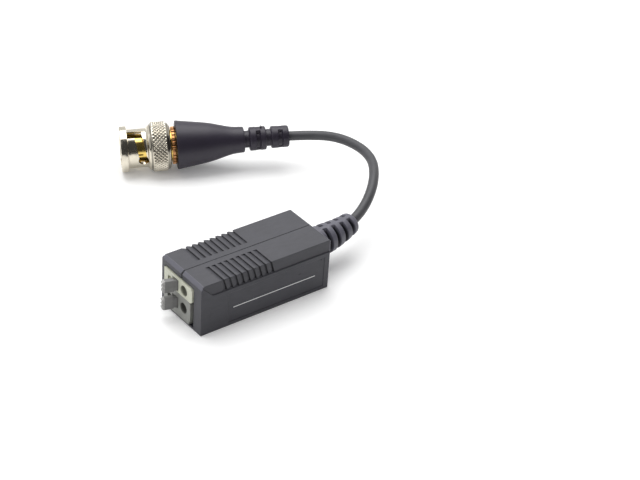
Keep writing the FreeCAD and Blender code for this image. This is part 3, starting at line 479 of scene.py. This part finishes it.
def relief_slot_shade(x, y, z):
    """Painted shade in the strain relief's slots, by their depth measured from the bending line of the cord inside
    it.
    """
    sizes = bpy.context.scene.balun_cord
    ahead = x - bpy.context.scene.balun_housing.half_length
    past = ahead.maths("MAXIMUM", ahead - RELIEF_STRAIGHT, 0.0)
    bend = past * past * RELIEF_BEND
    away = distance_from(y, z, bend, bend * 0.5 + CORD_ROUTE[0][2] * MM)
    middle = sizes.relief_length * RELIEF_MIDDLE
    first_taper = (sizes.relief_base - sizes.relief_middle) / middle
    second_taper = (sizes.relief_middle - sizes.relief_tip) / (sizes.relief_length - middle)
    outer = ahead.maths(
        "MINIMUM", sizes.relief_base - ahead * first_taper, sizes.relief_middle - (ahead - middle) * second_taper)
    free = 1.0 - ahead.between(sizes.relief_length - 1.4 * MM, sizes.relief_length - 1.0 * MM)
    return (1.0 - (away / outer).between(0.62, 0.88)) * free


def dress(node, material):
    """Gives a node of the frame its material."""
    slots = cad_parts[node].data.materials
    slots.clear()
    slots.append(material)


def linked(name, data):
    piece = bpy.data.objects.new(name, data)
    bpy.context.scene.collection.objects.link(piece)
    return piece


def lofted(rings, closed=False):
    """Points and faces of a solid through a row of rings, which has caps or is closed in itself."""
    count = len(rings[0])
    points = [point for ring in rings for point in ring]
    faces = []
    for number in range(len(rings) if closed else len(rings) - 1):
        here = number * count
        following = (number + 1) % len(rings) * count
        for step in range(count):
            beside = (step + 1) % count
            faces.append((here + step, here + beside, following + beside, following + step))
    if not closed:
        faces += [tuple(reversed(range(count))), tuple(range(len(points) - count, len(points)))]
    return points, faces


def solid(name, points, faces):
    """An object with a closed mesh whose faces all look outwards."""
    mesh = bpy.data.meshes.new(name)
    mesh.from_pydata([tuple(point) for point in points], [], faces)
    work = bmesh.new()
    work.from_mesh(mesh)
    bmesh.ops.remove_doubles(work, verts=work.verts, dist=1e-6)
    bmesh.ops.recalc_face_normals(work, faces=work.faces)
    work.to_mesh(mesh)
    work.free()
    return linked(name, mesh)


def new_piece(name, points, faces, material, body, slot):
    """Makes a closed mesh into a piece that rides on a body of the frame."""
    settle(solid(name, points, faces), material, body)


def settle(piece, material, body, replaced=None, sharp=32.0):
    """Gives a piece its material and its place in the frame, with edges above an angle in degrees kept sharp."""
    mesh = piece.data
    mesh.materials.clear()
    mesh.materials.append(material)
    mesh.shade_smooth()
    if sharp:
        mesh.set_sharp_from_angle(angle=math.radians(sharp))
    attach(piece, body)
    if replaced:
        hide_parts(replaced)


def plain_copy(piece):
    """The evaluated piece as a plain mesh object with no modifiers."""
    graph = bpy.context.evaluated_depsgraph_get()
    graph.update()
    mesh = bpy.data.meshes.new_from_object(piece.evaluated_get(graph))
    name = piece.name
    bpy.data.objects.remove(piece)
    mesh.name = name
    return linked(name, mesh)


def plug_matrix():
    """Place of the plug's own frame: nose at the origin, cord along +x."""
    sizes = bpy.context.scene.balun_plug
    turn = Matrix.Rotation(sizes.turn, 4, "Z")
    lift = Matrix.Rotation(-sizes.tilt, 4, "Y")
    return Matrix.Translation(Vector(sizes.nose)) @ turn @ lift


def plug_point(place, distance, radius, turn):
    """A point from its distance behind the plug's nose, its distance from the axis and its turn about it."""
    return place @ Vector((distance * MM, -radius * MM * math.cos(turn), radius * MM * math.sin(turn)))


def softened(outline, radius, steps=3):
    """Rounds the corners of a closed outline of distances and radii, in millimetres."""
    most_cut = 0.45
    least_cut = 0.01
    nearly_straight = 0.985
    count = len(outline)
    result = []
    for index, corner in enumerate(outline):
        here = Vector(corner)
        before = Vector(outline[index - 1]) - here
        after = Vector(outline[(index + 1) % count]) - here
        cut = min(radius, before.length * most_cut, after.length * most_cut)
        straight = abs(before.normalized().dot(after.normalized())) > nearly_straight
        if cut < least_cut or straight:
            result.append(tuple(here))
            continue
        start = here + before.normalized() * cut
        end = here + after.normalized() * cut
        for step in range(steps + 1):
            share = step / steps
            result.append(tuple(start.lerp(here, share).lerp(here.lerp(end, share), share)))
    return result


def turned_mesh(name, outline, steps, radius_at):
    """A ring-shaped solid turned about the plug's axis, from a closed outline in millimetres."""
    place = plug_matrix()
    rings = []
    for distance, radius in outline:
        ring = []
        for step in range(steps):
            turn = 2 * math.pi * step / steps
            ring.append(plug_point(place, distance, radius_at(distance, radius, turn), turn))
        rings.append(ring)
    return solid(name, *lofted(rings, closed=True))


def new_curve(name, kind, places):
    """A curve in space with one spline through the given places, and that spline."""
    curve = bpy.data.curves.new(name, "CURVE")
    curve.dimensions = "3D"
    spline = curve.splines.new(kind)
    spline.points.add(len(places) - 1)
    for point, place in zip(spline.points, places):
        point.co = (*place, 1.0)
    return curve, spline


def route_curve(name, bevel=0.0):
    """The cord's line: a smooth spline on its control points."""
    curve, spline = new_curve(name, "NURBS", [[c * MM for c in place] for place in CORD_ROUTE])
    spline.order_u = 3
    spline.use_endpoint_u = True
    spline.resolution_u = 24
    curve.bevel_depth = bevel
    curve.bevel_resolution = 12
    curve.use_fill_caps = True
    return linked(name, curve)


def route_line():
    """Points read from the cord's own spline."""
    guide = route_curve("cord_guide")
    graph = bpy.context.evaluated_depsgraph_get()
    graph.update()
    mesh = bpy.data.meshes.new_from_object(guide.evaluated_get(graph))
    line = [v.co.copy() for v in mesh.vertices]
    bpy.data.objects.remove(guide)
    bpy.data.meshes.remove(mesh)
    return line


def stretch_of(line, start, end, step):
    """Evenly spaced points of a line between two distances along it."""
    travelled = [0.0]
    for a, b in zip(line, line[1:]):
        travelled.append(travelled[-1] + (b - a).length)
    count = max(2, round((end - start) / step))
    points = []
    index = 0
    for number in range(count + 1):
        wanted = start + (end - start) * number / count
        while index < len(travelled) - 2 and travelled[index + 1] < wanted:
            index += 1
        share = (wanted - travelled[index]) / (travelled[index + 1] - travelled[index])
        points.append(line[index].lerp(line[index + 1], share))
    return points


def new_tree(name, sockets):
    """An empty geometry tree with inputs of the given kinds and labels: its start and the inputs' signals."""
    tree = bpy.data.node_groups.new(name, "GeometryNodeTree")
    for kind, labels in sockets.items():
        for label in labels:
            tree.interface.new_socket(label, in_out="INPUT", socket_type="NodeSocket" + kind)
    tree.interface.new_socket("Mesh", in_out="OUTPUT", socket_type="NodeSocketGeometry")
    start = Signal(tree)
    return start, start.node("NodeGroupInput").output


def closed_tree(geometry, material):
    """Ends a geometry tree with real geometry that carries its material."""
    real = geometry.node("GeometryNodeRealizeInstances", None, {"Geometry": geometry})
    covered = geometry.node("GeometryNodeSetMaterial", None, {"Geometry": real, "Material": material})
    end = geometry.tree.nodes.new("NodeGroupOutput")
    geometry.tree.links.new(covered.socket, end.inputs["Mesh"])
    return geometry.tree


def ribbed_tree():
    """A sleeve round a line, with the radius that the line's points carry. Slots in its flanks leave ribs."""
    start, given = new_tree("ribbed_sleeve", {
        "Geometry": ["Line"],
        "Float": ["First slot", "Slot pitch", "Slot width", "Core radius", "Web width", "Web shift", "Softness"],
        "Int": ["Slots", "Facets"], "Material": ["Material"]})
    upright = start.node("GeometryNodeSetCurveNormal", {"mode": "Z_UP"}, {"Curve": given("Line")})
    along = start.node("GeometryNodeSplineParameter").output("Length")
    place = start.node("GeometryNodeInputPosition")
    radius = start.node("GeometryNodeInputRadius")
    line = start.node(
        "GeometryNodeCaptureAttribute", {"items": [("FLOAT", "Along"), ("VECTOR", "Centre"), ("FLOAT", "Radius")]},
        {"Geometry": upright, 1: along, 2: place, 3: radius})
    circle = start.node("GeometryNodeCurvePrimitiveCircle", None, {"Resolution": given("Facets"), "Radius": 1.0})
    section = start.node(
        "GeometryNodeCaptureAttribute", {"items": [("VECTOR", "Section")]}, {"Geometry": circle, 1: place})
    sleeve = start.node("GeometryNodeCurveToMesh", None, {
        "Curve": line.output("Geometry"), "Profile Curve": section.output("Geometry"), "Scale": radius,
        "Fill Caps": True})
    level = start.node("ShaderNodeSeparateXYZ", None, {0: section.output("Section")}).output("X")
    soft = given("Softness")
    half = given("Slot width") / 2.0
    paces = (line.output("Along") - given("First slot")) / given("Slot pitch")
    whole = paces.maths("FLOOR", paces)
    middle = abs((paces - whole) * given("Slot pitch") - half)
    slot = 1.0 - middle.between(half - soft, half + soft)
    counted = whole.maths("GREATER_THAN", whole, -0.5) * whole.maths("LESS_THAN", whole, given("Slots") - 0.5)
    aside = abs(level * line.output("Radius") - given("Web shift"))
    web = given("Web width") / 2.0
    depth = slot * counted * aside.between(web - soft, web + soft)
    shrink = depth * (1.0 - given("Core radius") / line.output("Radius"))
    inward = start.node("ShaderNodeVectorMath", {"operation": "SUBTRACT"}, {0: line.output("Centre"), 1: place})
    offset = start.node("ShaderNodeVectorMath", {"operation": "SCALE"}, {0: inward, "Scale": shrink})
    moved = start.node("GeometryNodeSetPosition", None, {"Geometry": sleeve, "Offset": offset})
    return closed_tree(moved, given("Material"))


def wound_tree():
    """Wire wound round an arc of a ring core: a line bent round the ring and round the core's section at once."""
    start, given = new_tree("wound_wire", {
        "Geometry": ["Line"],
        "Float": ["Turns", "Start", "Sweep", "Ring radius", "Section height", "Section depth", "Wire radius"],
        "Vector": ["Centre"], "Material": ["Material"]})
    points_per_turn = 28.0
    finer = start.node("GeometryNodeResampleCurve", None, {
        "Curve": given("Line"), "Count": given("Turns") * points_per_turn})
    share = start.node("GeometryNodeSplineParameter").output("Factor")
    wrap = share * given("Turns") * (2 * math.pi)
    turn = given("Start") + given("Sweep") * share

    def squared(wave):
        return wave.node("ShaderNodeClamp", None, {"Value": wave * 1.25, "Min": -1.0, "Max": 1.0})

    reach = given("Ring radius") + squared(wrap.maths("COSINE", wrap)) * given("Section height")
    away = squared(wrap.maths("SINE", wrap)) * given("Section depth")
    spot = start.node("ShaderNodeCombineXYZ", None, {
        "X": reach * turn.maths("COSINE", turn), "Y": away, "Z": reach * turn.maths("SINE", turn)})
    spot = spot.node("ShaderNodeVectorMath", {"operation": "ADD"}, {0: spot, 1: given("Centre")})
    bent = start.node("GeometryNodeSetPosition", None, {"Geometry": finer, "Position": spot})
    section = start.node("GeometryNodeCurvePrimitiveCircle", None, {"Resolution": 10, "Radius": given("Wire radius")})
    wire = start.node("GeometryNodeCurveToMesh", None, {"Curve": bent, "Profile Curve": section, "Fill Caps": True})
    return closed_tree(wire, given("Material"))


def grown(name, source, tree, values):
    """Runs a geometry tree on an object and returns the plain mesh that it makes."""
    modifier = source.modifiers.new(name, "NODES")
    modifier.node_group = tree
    for item in tree.interface.items_tree:
        if item.item_type == "SOCKET" and item.in_out == "INPUT" and item.name in values:
            modifier[item.identifier] = values[item.name]
    source.name = name
    return plain_copy(source)


def line_object(name, points, radii):
    """An open line whose points carry the radius of the sleeve made on it."""
    curve, spline = new_curve(name, "POLY", points)
    for point, radius in zip(spline.points, radii):
        point.radius = radius
    return linked(name, curve)


def along_profile(profile, distance):
    """The radius of a profile of distances and radii at one distance."""
    for (a, first), (b, last) in zip(profile, profile[1:]):
        if distance <= b:
            return first + (last - first) * max(0.0, distance - a) / (b - a)
    return profile[-1][1]


class BALUN_OT_housing(bpy.types.Operator):
    """Finishes the two halves of the housing and adds the printed rule and moulding dots"""

    bl_idname = "balun.housing"
    bl_label = "Housing"

    def execute(self, context):
        sizes = context.scene.balun_housing
        shell = moulding(
            "charcoal_moulding", sizes.shell_colour, roughness=0.47, grain=0.03, edge=sizes.edge_radius, speck=0.12,
            sheen=0.42, painted_shade=housing_gap_shade, painted_highlight=housing_edge_highlights)
        for node in ("housing_near_half", "housing_far_half"):
            dress(node, shell)
        ink = moulding("white_print", sizes.print_colour, roughness=0.6, grain=0.004)
        front = -sizes.half_length
        side = -sizes.half_width + sizes.label_depth
        ink_depth = 0.015 * MM
        low = sizes.rule_height - sizes.rule_width / 2
        high = sizes.rule_height + sizes.rule_width / 2
        corners = ((sizes.rule_start, low), (sizes.rule_end, low), (sizes.rule_end, high), (sizes.rule_start, high))
        rings = [[(front + x, y, z) for x, z in corners] for y in (side + 0.1 * MM, side - ink_depth)]
        new_piece("printed_rule", *lofted(rings), ink, "housing", "housing")
        count = 12
        for number, (x, z) in enumerate(DOT_CENTRES):
            rings = []
            for radius, height in DOT_OUTLINE:
                turns = [2 * math.pi * step / count for step in range(count)]
                rings.append([((x + radius * math.cos(turn)) * MM, side - height * MM,
                               (z + radius * math.sin(turn)) * MM) for turn in turns])
            new_piece("moulding_dot_" + str(number + 1), *lofted(rings), shell, "housing", "housing")
        return {"FINISHED"}


class BALUN_OT_terminals(bpy.types.Operator):
    """Finishes the two terminal poles and their levers"""

    bl_idname = "balun.terminals"
    bl_label = "Terminals"

    def execute(self, context):
        sizes = context.scene.balun_housing
        edge = 0.1 * MM
        for name, node, base, level in (
                ("cream_moulding", "terminal_pole_cream", sizes.cream_colour, UPPER_LEVEL),
                ("grey_moulding", "terminal_pole_grey", sizes.grey_colour, LOWER_LEVEL)):
            dress(node, moulding(name, base, 0.42, 0.012, edge=edge, painted_shade=wire_hole_shade(level)))
        lever = moulding("lever_moulding", sizes.lever_colour, 0.4, 0.015, edge=edge, painted_highlight=lever_end_highlight)
        for node, level in (("lever_upper", UPPER_LEVEL), ("lever_lower", LOWER_LEVEL)):
            dress(node, lever)
            self.add_ridges(sizes, node, level, lever)
        return {"FINISHED"}

    def add_ridges(self, sizes, node, level, lever):
        """Three ridges across a lever's end face, which give the thumb its hold."""
        spacing = 1.15 * MM
        half = 0.66 * MM
        points = []
        faces = []
        for rise in (-spacing, 0.0, spacing):
            first = len(points)
            rings = [[self.on_lever(sizes, out * MM, aside, level + rise + height * MM)
                      for out, height in RIDGE_OUTLINE] for aside in (-half, half)]
            ridge_points, ridge_faces = lofted(rings)
            points += ridge_points
            faces += [[first + index for index in face] for face in ridge_faces]
        new_piece("serrated_tip_" + node[6:], points, faces, lever, node, "lever_moulding")

    def on_lever(self, sizes, out, aside, height):
        """A point at a lever's end face, from its distances out of it and across it and its height."""
        along = LEVER_REACH + out
        return Vector((
            LEVER_DEPTH - sizes.half_length - along * math.cos(LEVER_LEAN) + aside * math.sin(LEVER_LEAN),
            LEVER_SIDE + along * math.sin(LEVER_LEAN) + aside * math.cos(LEVER_LEAN), height))


class BALUN_OT_cord(bpy.types.Operator):
    """Makes the coaxial cord on its smooth route"""

    bl_idname = "balun.cord"
    bl_label = "Cord"

    def execute(self, context):
        sizes = context.scene.balun_cord
        cord = route_curve("coaxial_cord", sizes.cord_diameter / 2)
        cord.data.materials.append(jacket("cord_jacket", sizes.cord_colour))
        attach(cord, "housing")
        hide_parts("coax_cable")
        return {"FINISHED"}


class BALUN_OT_strain_relief(bpy.types.Operator):
    """Makes the slotted strain relief on the cord's line"""

    bl_idname = "balun.strain_relief"
    bl_label = "Strain relief"

    def execute(self, context):
        sizes = context.scene.balun_cord
        line = route_line()
        start = context.scene.balun_housing.half_length + 0.02 * MM - line[0].x
        root = -RELIEF_ROOT[0][0] * MM
        reach = sizes.relief_length
        soft = 0.25 * MM
        spacing = 0.07 * MM
        profile = [(distance * MM, radius * MM) for distance, radius in RELIEF_ROOT] + [
            (0.0, sizes.relief_base - soft), (soft, sizes.relief_base), (RELIEF_MIDDLE * reach, sizes.relief_middle),
            (reach - 2 * soft, sizes.relief_tip + 0.1 * MM), (reach - soft, sizes.relief_tip),
            (reach, sizes.relief_tip - soft),
        ]
        points = stretch_of(line, start - root, start + reach, spacing)
        step = (reach + root) / (len(points) - 1)
        radii = [along_profile(profile, number * step - root) for number in range(len(points))]
        material = moulding("relief_moulding", sizes.relief_colour, 0.4, 0.02, speck=0.1, painted_shade=relief_slot_shade)
        guide = line_object("relief_guide", points, radii)
        piece = grown("slotted_relief", guide, ribbed_tree(), {
            "First slot": sizes.first_slot + root, "Slot pitch": sizes.slot_pitch, "Slot width": sizes.slot_width,
            "Core radius": sizes.relief_core, "Web width": sizes.relief_web, "Web shift": sizes.relief_web_shift,
            "Softness": 0.16 * MM, "Slots": sizes.slot_count, "Facets": 128, "Material": material})
        settle(piece, material, "housing", "strain_relief", sharp=0.0)
        return {"FINISHED"}


class BALUN_OT_plug_boot(bpy.types.Operator):
    """Makes the plug's tapering boot with its grooved and slotted tail"""

    bl_idname = "balun.plug_boot"
    bl_label = "Plug boot"

    def execute(self, context):
        sizes = context.scene.balun_plug
        place = plug_matrix()
        front = BOOT_PROFILE[0][0]
        reach = BOOT_PROFILE[-1][0] - front
        first_slot = 39.525
        count = 480
        stations = [front + reach * number / count for number in range(count + 1)]
        points = [place @ Vector((t * MM, 0.0, 0.0)) for t in stations]
        radii = [along_profile(BOOT_PROFILE, t) * MM for t in stations]
        material = moulding("boot_moulding", sizes.boot_colour, 0.46, 0.018, speck=0.06)
        guide = line_object("boot_guide", points, radii)
        piece = grown("grooved_boot", guide, ribbed_tree(), {
            "First slot": (first_slot - front) * MM, "Slot pitch": 6.5 * MM, "Slot width": 1.25 * MM,
            "Core radius": 2.5 * MM, "Web width": 2.6 * MM, "Web shift": 0.0, "Softness": 0.16 * MM, "Slots": 2,
            "Facets": 144, "Material": material})
        settle(piece, material, "housing", "plug_boot", sharp=0.0)
        count = 8
        centre = 41.1
        foot = 0.36
        points = []
        for step in range(count):
            turn = 2 * math.pi * step / count
            points.append(place @ (Vector((centre + foot * math.cos(turn), foot * math.sin(turn), 3.3)) * MM))
        points.append(place @ (Vector((centre + 0.05, 0.0, 4.6)) * MM))
        faces = [(k, (k + 1) % count, count) for k in range(count)] + [tuple(reversed(range(count)))]
        new_piece("flash_nub", points, faces, material, "housing", "boot_moulding")
        return {"FINISHED"}


def knurled(sizes):
    """The radius of the grip: crossed grooves leave diamonds that fade out at both ends."""
    count = sizes.knurl_count
    depth = sizes.knurl_depth / MM
    steepness = 1.5

    def radius_at(distance, radius, turn):
        if radius < GRIP_RADIUS - 0.05 or not GRIP_START < distance < GRIP_END:
            return radius
        around = turn * count / (2 * math.pi)
        ahead = distance * count / (2 * math.pi * GRIP_RADIUS)
        first = abs(((around + ahead) % 1.0) - 0.5) * 2
        second = abs(((around - ahead) % 1.0) - 0.5) * 2
        rise = min(1.0, steepness * min(1.0 - first, 1.0 - second))
        fade = min(1.0, (distance - GRIP_START) / 0.2, (GRIP_END - distance) / 0.15)
        return radius - depth * fade * (1.0 - rise)

    return radius_at


def serrated(sizes):
    """The radius of the collar behind the nut: square teeth with sloping flanks."""
    root = 5.2
    depth = 0.32
    crest = 0.45
    flank = 0.2

    def radius_at(distance, radius, turn):
        if radius < root:
            return radius
        pace = abs((turn * sizes.collar_teeth / (2 * math.pi)) % 1.0 - 0.5) * 2
        return radius - depth * min(1.0, max(0.0, (pace - crest) / flank))

    return radius_at


def slot_cutters(sizes):
    """Solids that open the two bayonet slots: a helical run, an entry, a lead-in and a round seat, twice."""
    place = plug_matrix()
    half = sizes.slot_width / MM / 2
    entry_turn = 74.4
    sweep = 85.4
    start = 5.15
    rise = 1.25
    seat_turn = -11.0
    seat_radius = 1.5
    wall_radius = 5.5
    inside = 4.6
    outside = 6.3
    steps = 18
    seat_steps = 28

    def spot(distance, radius, degrees):
        return plug_point(place, distance, radius, math.radians(degrees))

    def channel(name, middle, ends, inner, outer):
        """A straight channel between two distances, with a radius and half an arc at its inner and outer sides."""
        sections = []
        for distance in ends:
            sections.append([
                spot(distance, inner[0], middle - inner[1]), spot(distance, outer[0], middle - outer[1]),
                spot(distance, outer[0], middle + outer[1]), spot(distance, inner[0], middle + inner[1])])
        return solid(name, *lofted(sections))

    cutters = []
    for opposite in (0, 180):
        helix = []
        for step in range(steps + 1):
            share = step / steps
            distance = start + rise * share
            turn = entry_turn - sweep * share + opposite
            helix.append([spot(distance - half, inside, turn), spot(distance + half, inside, turn),
                          spot(distance + half, outside, turn), spot(distance - half, outside, turn)])
        cutters.append(solid("helix", *lofted(helix)))
        cutters.append(channel("entry", entry_turn + opposite, (1.9, 6.3), (4.4, 15.5), (outside, 13.2)))
        cutters.append(channel("lead", entry_turn + opposite, (-0.3, 2.1), (4.2, 15.5), (5.68, 13.4)))
        seat = []
        for radius in (4.3, 6.4):
            ring = []
            for step in range(seat_steps):
                swing = 2 * math.pi * step / seat_steps
                aside = math.degrees(seat_radius * math.sin(swing) / wall_radius)
                ring.append(spot(start + rise + seat_radius * math.cos(swing), radius, seat_turn + opposite + aside))
            seat.append(ring)
        cutters.append(solid("seat", *lofted(seat)))
    return cutters


class BALUN_OT_coupling_nut(bpy.types.Operator):
    """Makes the knurled bayonet nut with its two helical slots"""

    bl_idname = "balun.coupling_nut"
    bl_label = "Coupling nut"

    def execute(self, context):
        sizes = context.scene.balun_plug
        outline = softened(NUT_OUTLINE, radius=0.28)
        grip_steps = 40
        other_spacing = 0.6
        facets_per_tooth = 8
        filled = []
        for (t0, r0), (t1, r1) in zip(outline, outline[1:] + outline[:1]):
            filled.append((t0, r0))
            on_grip = min(r0, r1) > GRIP_RADIUS - 0.05 and t1 - t0 > 1.0
            steps = grip_steps if on_grip else max(1, int(abs(t1 - t0) / other_spacing))
            for step in range(1, steps):
                filled.append((t0 + (t1 - t0) * step / steps, r0 + (r1 - r0) * step / steps))
        nut = turned_mesh("bayonet_nut", filled, sizes.knurl_count * facets_per_tooth, knurled(sizes))
        cutters = slot_cutters(sizes)
        for cutter in cutters:
            cut = nut.modifiers.new(cutter.name, "BOOLEAN")
            cut.object = cutter
            cut.operation = "DIFFERENCE"
            cut.solver = "EXACT"
        nut = plain_copy(nut)
        for cutter in cutters:
            bpy.data.objects.remove(cutter)
        nickel = plated("nickel_plate", sizes.nickel_colour, 0.13, (tuple(sizes.nose), sizes.tilt, sizes.turn),
                        edge=0.05 * MM, knurl_count=sizes.knurl_count)
        settle(nut, nickel, "coupling_nut", "coupling_sleeve", sharp=30.0)
        return {"FINISHED"}


class BALUN_OT_plug_contacts(bpy.types.Operator):
    """Finishes the plug's gilt body, insulator, pin, gasket and washers"""

    bl_idname = "balun.plug_contacts"
    bl_label = "Plug contacts"

    def execute(self, context):
        sizes = context.scene.balun_plug
        axis = (tuple(sizes.nose), sizes.tilt, sizes.turn)
        gilt = plated("gilt_plate", sizes.gilt_colour, 0.16, axis, edge=0.05 * MM)
        nickel = bpy.data.materials["nickel_plate"]
        for node in ("plug_body", "centre_pin"):
            dress(node, gilt)
        for node in ("thrust_washer", "wave_washer", "crimp_ferrule"):
            dress(node, nickel)
        copper = plated("copper_plate", sizes.collar_colour, 0.24, axis)
        facets_per_tooth = 12
        facets = sizes.collar_teeth * facets_per_tooth
        ring = turned_mesh("serrated_collar", COLLAR_OUTLINE, facets, serrated(sizes))
        settle(ring, copper, "housing")
        dress("plug_dielectric", moulding("white_insulator", sizes.insulator_colour, 0.4, 0.01))
        dress("gasket", moulding("pale_gasket", (0.45, 0.42, 0.38), 0.6, 0.02))
        dress("coax_plug_end", bpy.data.materials["cord_jacket"])
        return {"FINISHED"}


class BALUN_OT_inner_parts(bpy.types.Operator):
    """Finishes the board, the ring core, its windings and the other parts inside the housing"""

    bl_idname = "balun.inner_parts"
    bl_label = "Inner parts"

    def execute(self, context):
        sizes = context.scene.balun_inner
        dress("circuit_board", laminate("green_laminate", sizes.board_colour))
        dress("balun_core", moulding("dull_ferrite", sizes.ferrite_colour, 0.6, 0.05))
        wire = plated("enamelled_wire", sizes.wire_colour, 0.25)
        tree = wound_tree()
        for node, start in (("winding_upper", 0.0), ("winding_lower", math.pi)):
            line = line_object(node + "_line", [(0.0, 0.0, 0.0), (MM, 0.0, 0.0)], [1.0, 1.0])
            piece = grown("wound_" + node, line, tree, {
                "Turns": float(sizes.turns), "Start": start + math.radians(16), "Sweep": math.radians(148),
                "Ring radius": 3.2 * MM, "Section height": 1.4 * MM, "Section depth": 1.8 * MM,
                "Wire radius": sizes.wire_radius, "Centre": (-2.5 * MM, -4.25 * MM, 7.4 * MM), "Material": wire})
            settle(piece, wire, "housing", node, sharp=0.0)
        tin = plated("tinned_metal", sizes.tin_colour, 0.3)
        for node in ("contact_upper", "contact_lower", "clamp_spring_upper", "clamp_spring_lower", "coax_braid_tail"):
            dress(node, tin)
        coating = moulding("dipped_coating", sizes.part_colour, 0.25, 0.01, coat=0.5)
        for node in ("surge_suppressor", "filter_capacitor", "matching_resistor"):
            dress(node, coating)
        dress("coax_core_tail", moulding("foam_insulation", (0.75, 0.75, 0.72), 0.5, 0.02))
        return {"FINISHED"}


class BALUN_OT_stage(bpy.types.Operator):
    """Sets up the camera, the table top and the soft studio light"""

    bl_idname = "balun.stage"
    bl_label = "Stage"

    def execute(self, context):
        sizes = context.scene.balun_stage
        view = bpy.data.cameras.new("view")
        view.lens = sizes.lens
        view.sensor_width = 36.0
        view.sensor_fit = "HORIZONTAL"
        view.clip_start = 0.01
        view.clip_end = 20.0
        camera = linked("view", view)
        camera.location = (-0.21865736, -0.29283431, 0.25922327)
        camera.rotation_euler = [math.radians(a) for a in (56.538708, -3.432074, -37.367029)]
        context.scene.camera = camera
        self.add_floor(sizes)
        self.add_lamp("overhead", (0.14, 0.29, 0.78), (0.015, 0.03, 0.0), 0.8, sizes.key_power)
        self.add_lamp("side", (-0.56, 0.2, 0.5), (0.0, 0.03, 0.0), 0.9, sizes.side_power)
        self.add_world(context, sizes)
        context.scene.view_settings.view_transform = "Standard"
        return {"FINISHED"}

    def add_floor(self, sizes):
        mesh = bpy.data.meshes.new("table_top")
        low = -0.02 * MM
        reach = 0.9
        corners = [(-reach, -reach, low), (reach, -reach, low), (reach, reach, low), (-reach, reach, low)]
        mesh.from_pydata(corners, [], [(0, 1, 2, 3)])
        material, place = new_material("white_table")
        paint = blend_colours(noise(place, 30.0), shade(sizes.floor_colour, 0.99), shade(sizes.floor_colour, 1.01))
        path = place.node("ShaderNodeLightPath")
        seen = path.maths("MAXIMUM", path.output("Is Camera Ray"), path.output("Is Glossy Ray"))
        paint = blend_colours(seen, shade(sizes.floor_colour, sizes.floor_bounce), paint)
        lift = blend_colours(seen, (0.0, 0.0, 0.0, 1.0), shade((1.0, 1.0, 1.0), sizes.shadow_lift))
        mesh.materials.append(finished(material, {
            "Base Color": paint, "Roughness": 0.6, "Emission Color": lift, "Emission Strength": 1.0}))
        linked("table_top", mesh)

    def add_lamp(self, name, place, aim, size, power):
        lamp = bpy.data.lights.new(name, "AREA")
        lamp.shape = "SQUARE"
        lamp.size = size
        lamp.energy = power
        holder = linked(name, lamp)
        holder.location = place
        direction = Vector(aim) - Vector(place)
        holder.rotation_euler = direction.to_track_quat("-Z", "Y").to_euler()

    def add_world(self, context, sizes):
        world = bpy.data.worlds.new("studio")
        context.scene.world = world
        world.use_nodes = True
        world.node_tree.nodes.clear()
        start = Signal(world.node_tree)
        path = start.node("ShaderNodeLightPath")
        around = start.node("ShaderNodeTexCoord").output("Generated")
        split = start.node("ShaderNodeSeparateXYZ", None, {0: around})
        cordwards = split.output("X")
        backwards = split.output("Y")
        sweep = (cordwards * 0.47 + backwards * 0.88).between(-0.1, 0.25)
        mirrored = sizes.mirror_strength + sweep * (sizes.sweep_strength - sizes.mirror_strength)
        sky = (1.0 - cordwards * sizes.sky_lean + backwards * sizes.sky_back) * sizes.sky_strength
        strength = sky + path.output("Is Camera Ray") * (1.0 - sky)
        strength = strength + path.output("Is Glossy Ray") * (mirrored - sky)
        backdrop = start.node("ShaderNodeBackground", None, {"Color": (1.0, 1.0, 1.0, 1.0), "Strength": strength})
        end = world.node_tree.nodes.new("ShaderNodeOutputWorld")
        world.node_tree.links.new(backdrop.socket, end.inputs["Surface"])


OPERATORS = (
    BALUN_OT_stage, BALUN_OT_cord, BALUN_OT_housing, BALUN_OT_terminals, BALUN_OT_strain_relief,
    BALUN_OT_plug_boot, BALUN_OT_coupling_nut, BALUN_OT_plug_contacts, BALUN_OT_inner_parts,
)


class BALUN_PT_sidebar(bpy.types.Panel):
    """Lists the balun's pieces and their settings"""

    bl_idname = "BALUN_PT_sidebar"
    bl_label = "Video Balun"
    bl_space_type = "VIEW_3D"
    bl_region_type = "UI"
    bl_category = "Balun"

    def draw(self, context):
        for operator in OPERATORS:
            self.layout.operator(operator.bl_idname)
        for name in SETTINGS:
            box = self.layout.box()
            group = getattr(context.scene, name)
            for key in group.__annotations__:
                box.prop(group, key)


SETTINGS = {
    "balun_housing": BalunHousingSettings,
    "balun_cord": BalunCordSettings,
    "balun_plug": BalunPlugSettings,
    "balun_inner": BalunInnerSettings,
    "balun_stage": BalunStageSettings,
}


def register():
    for name, group in SETTINGS.items():
        bpy.utils.register_class(group)
        setattr(bpy.types.Scene, name, PointerProperty(type=group))
    for operator in OPERATORS:
        bpy.utils.register_class(operator)
    bpy.utils.register_class(BALUN_PT_sidebar)


def unregister():
    bpy.utils.unregister_class(BALUN_PT_sidebar)
    for operator in reversed(OPERATORS):
        bpy.utils.unregister_class(operator)
    for name, group in reversed(list(SETTINGS.items())):
        delattr(bpy.types.Scene, name)
        bpy.utils.unregister_class(group)


def main():
    register()
    for operator in OPERATORS:
        group, name = operator.bl_idname.split(".")
        getattr(getattr(bpy.ops, group), name)()


if __name__ == "__main__":
    main()
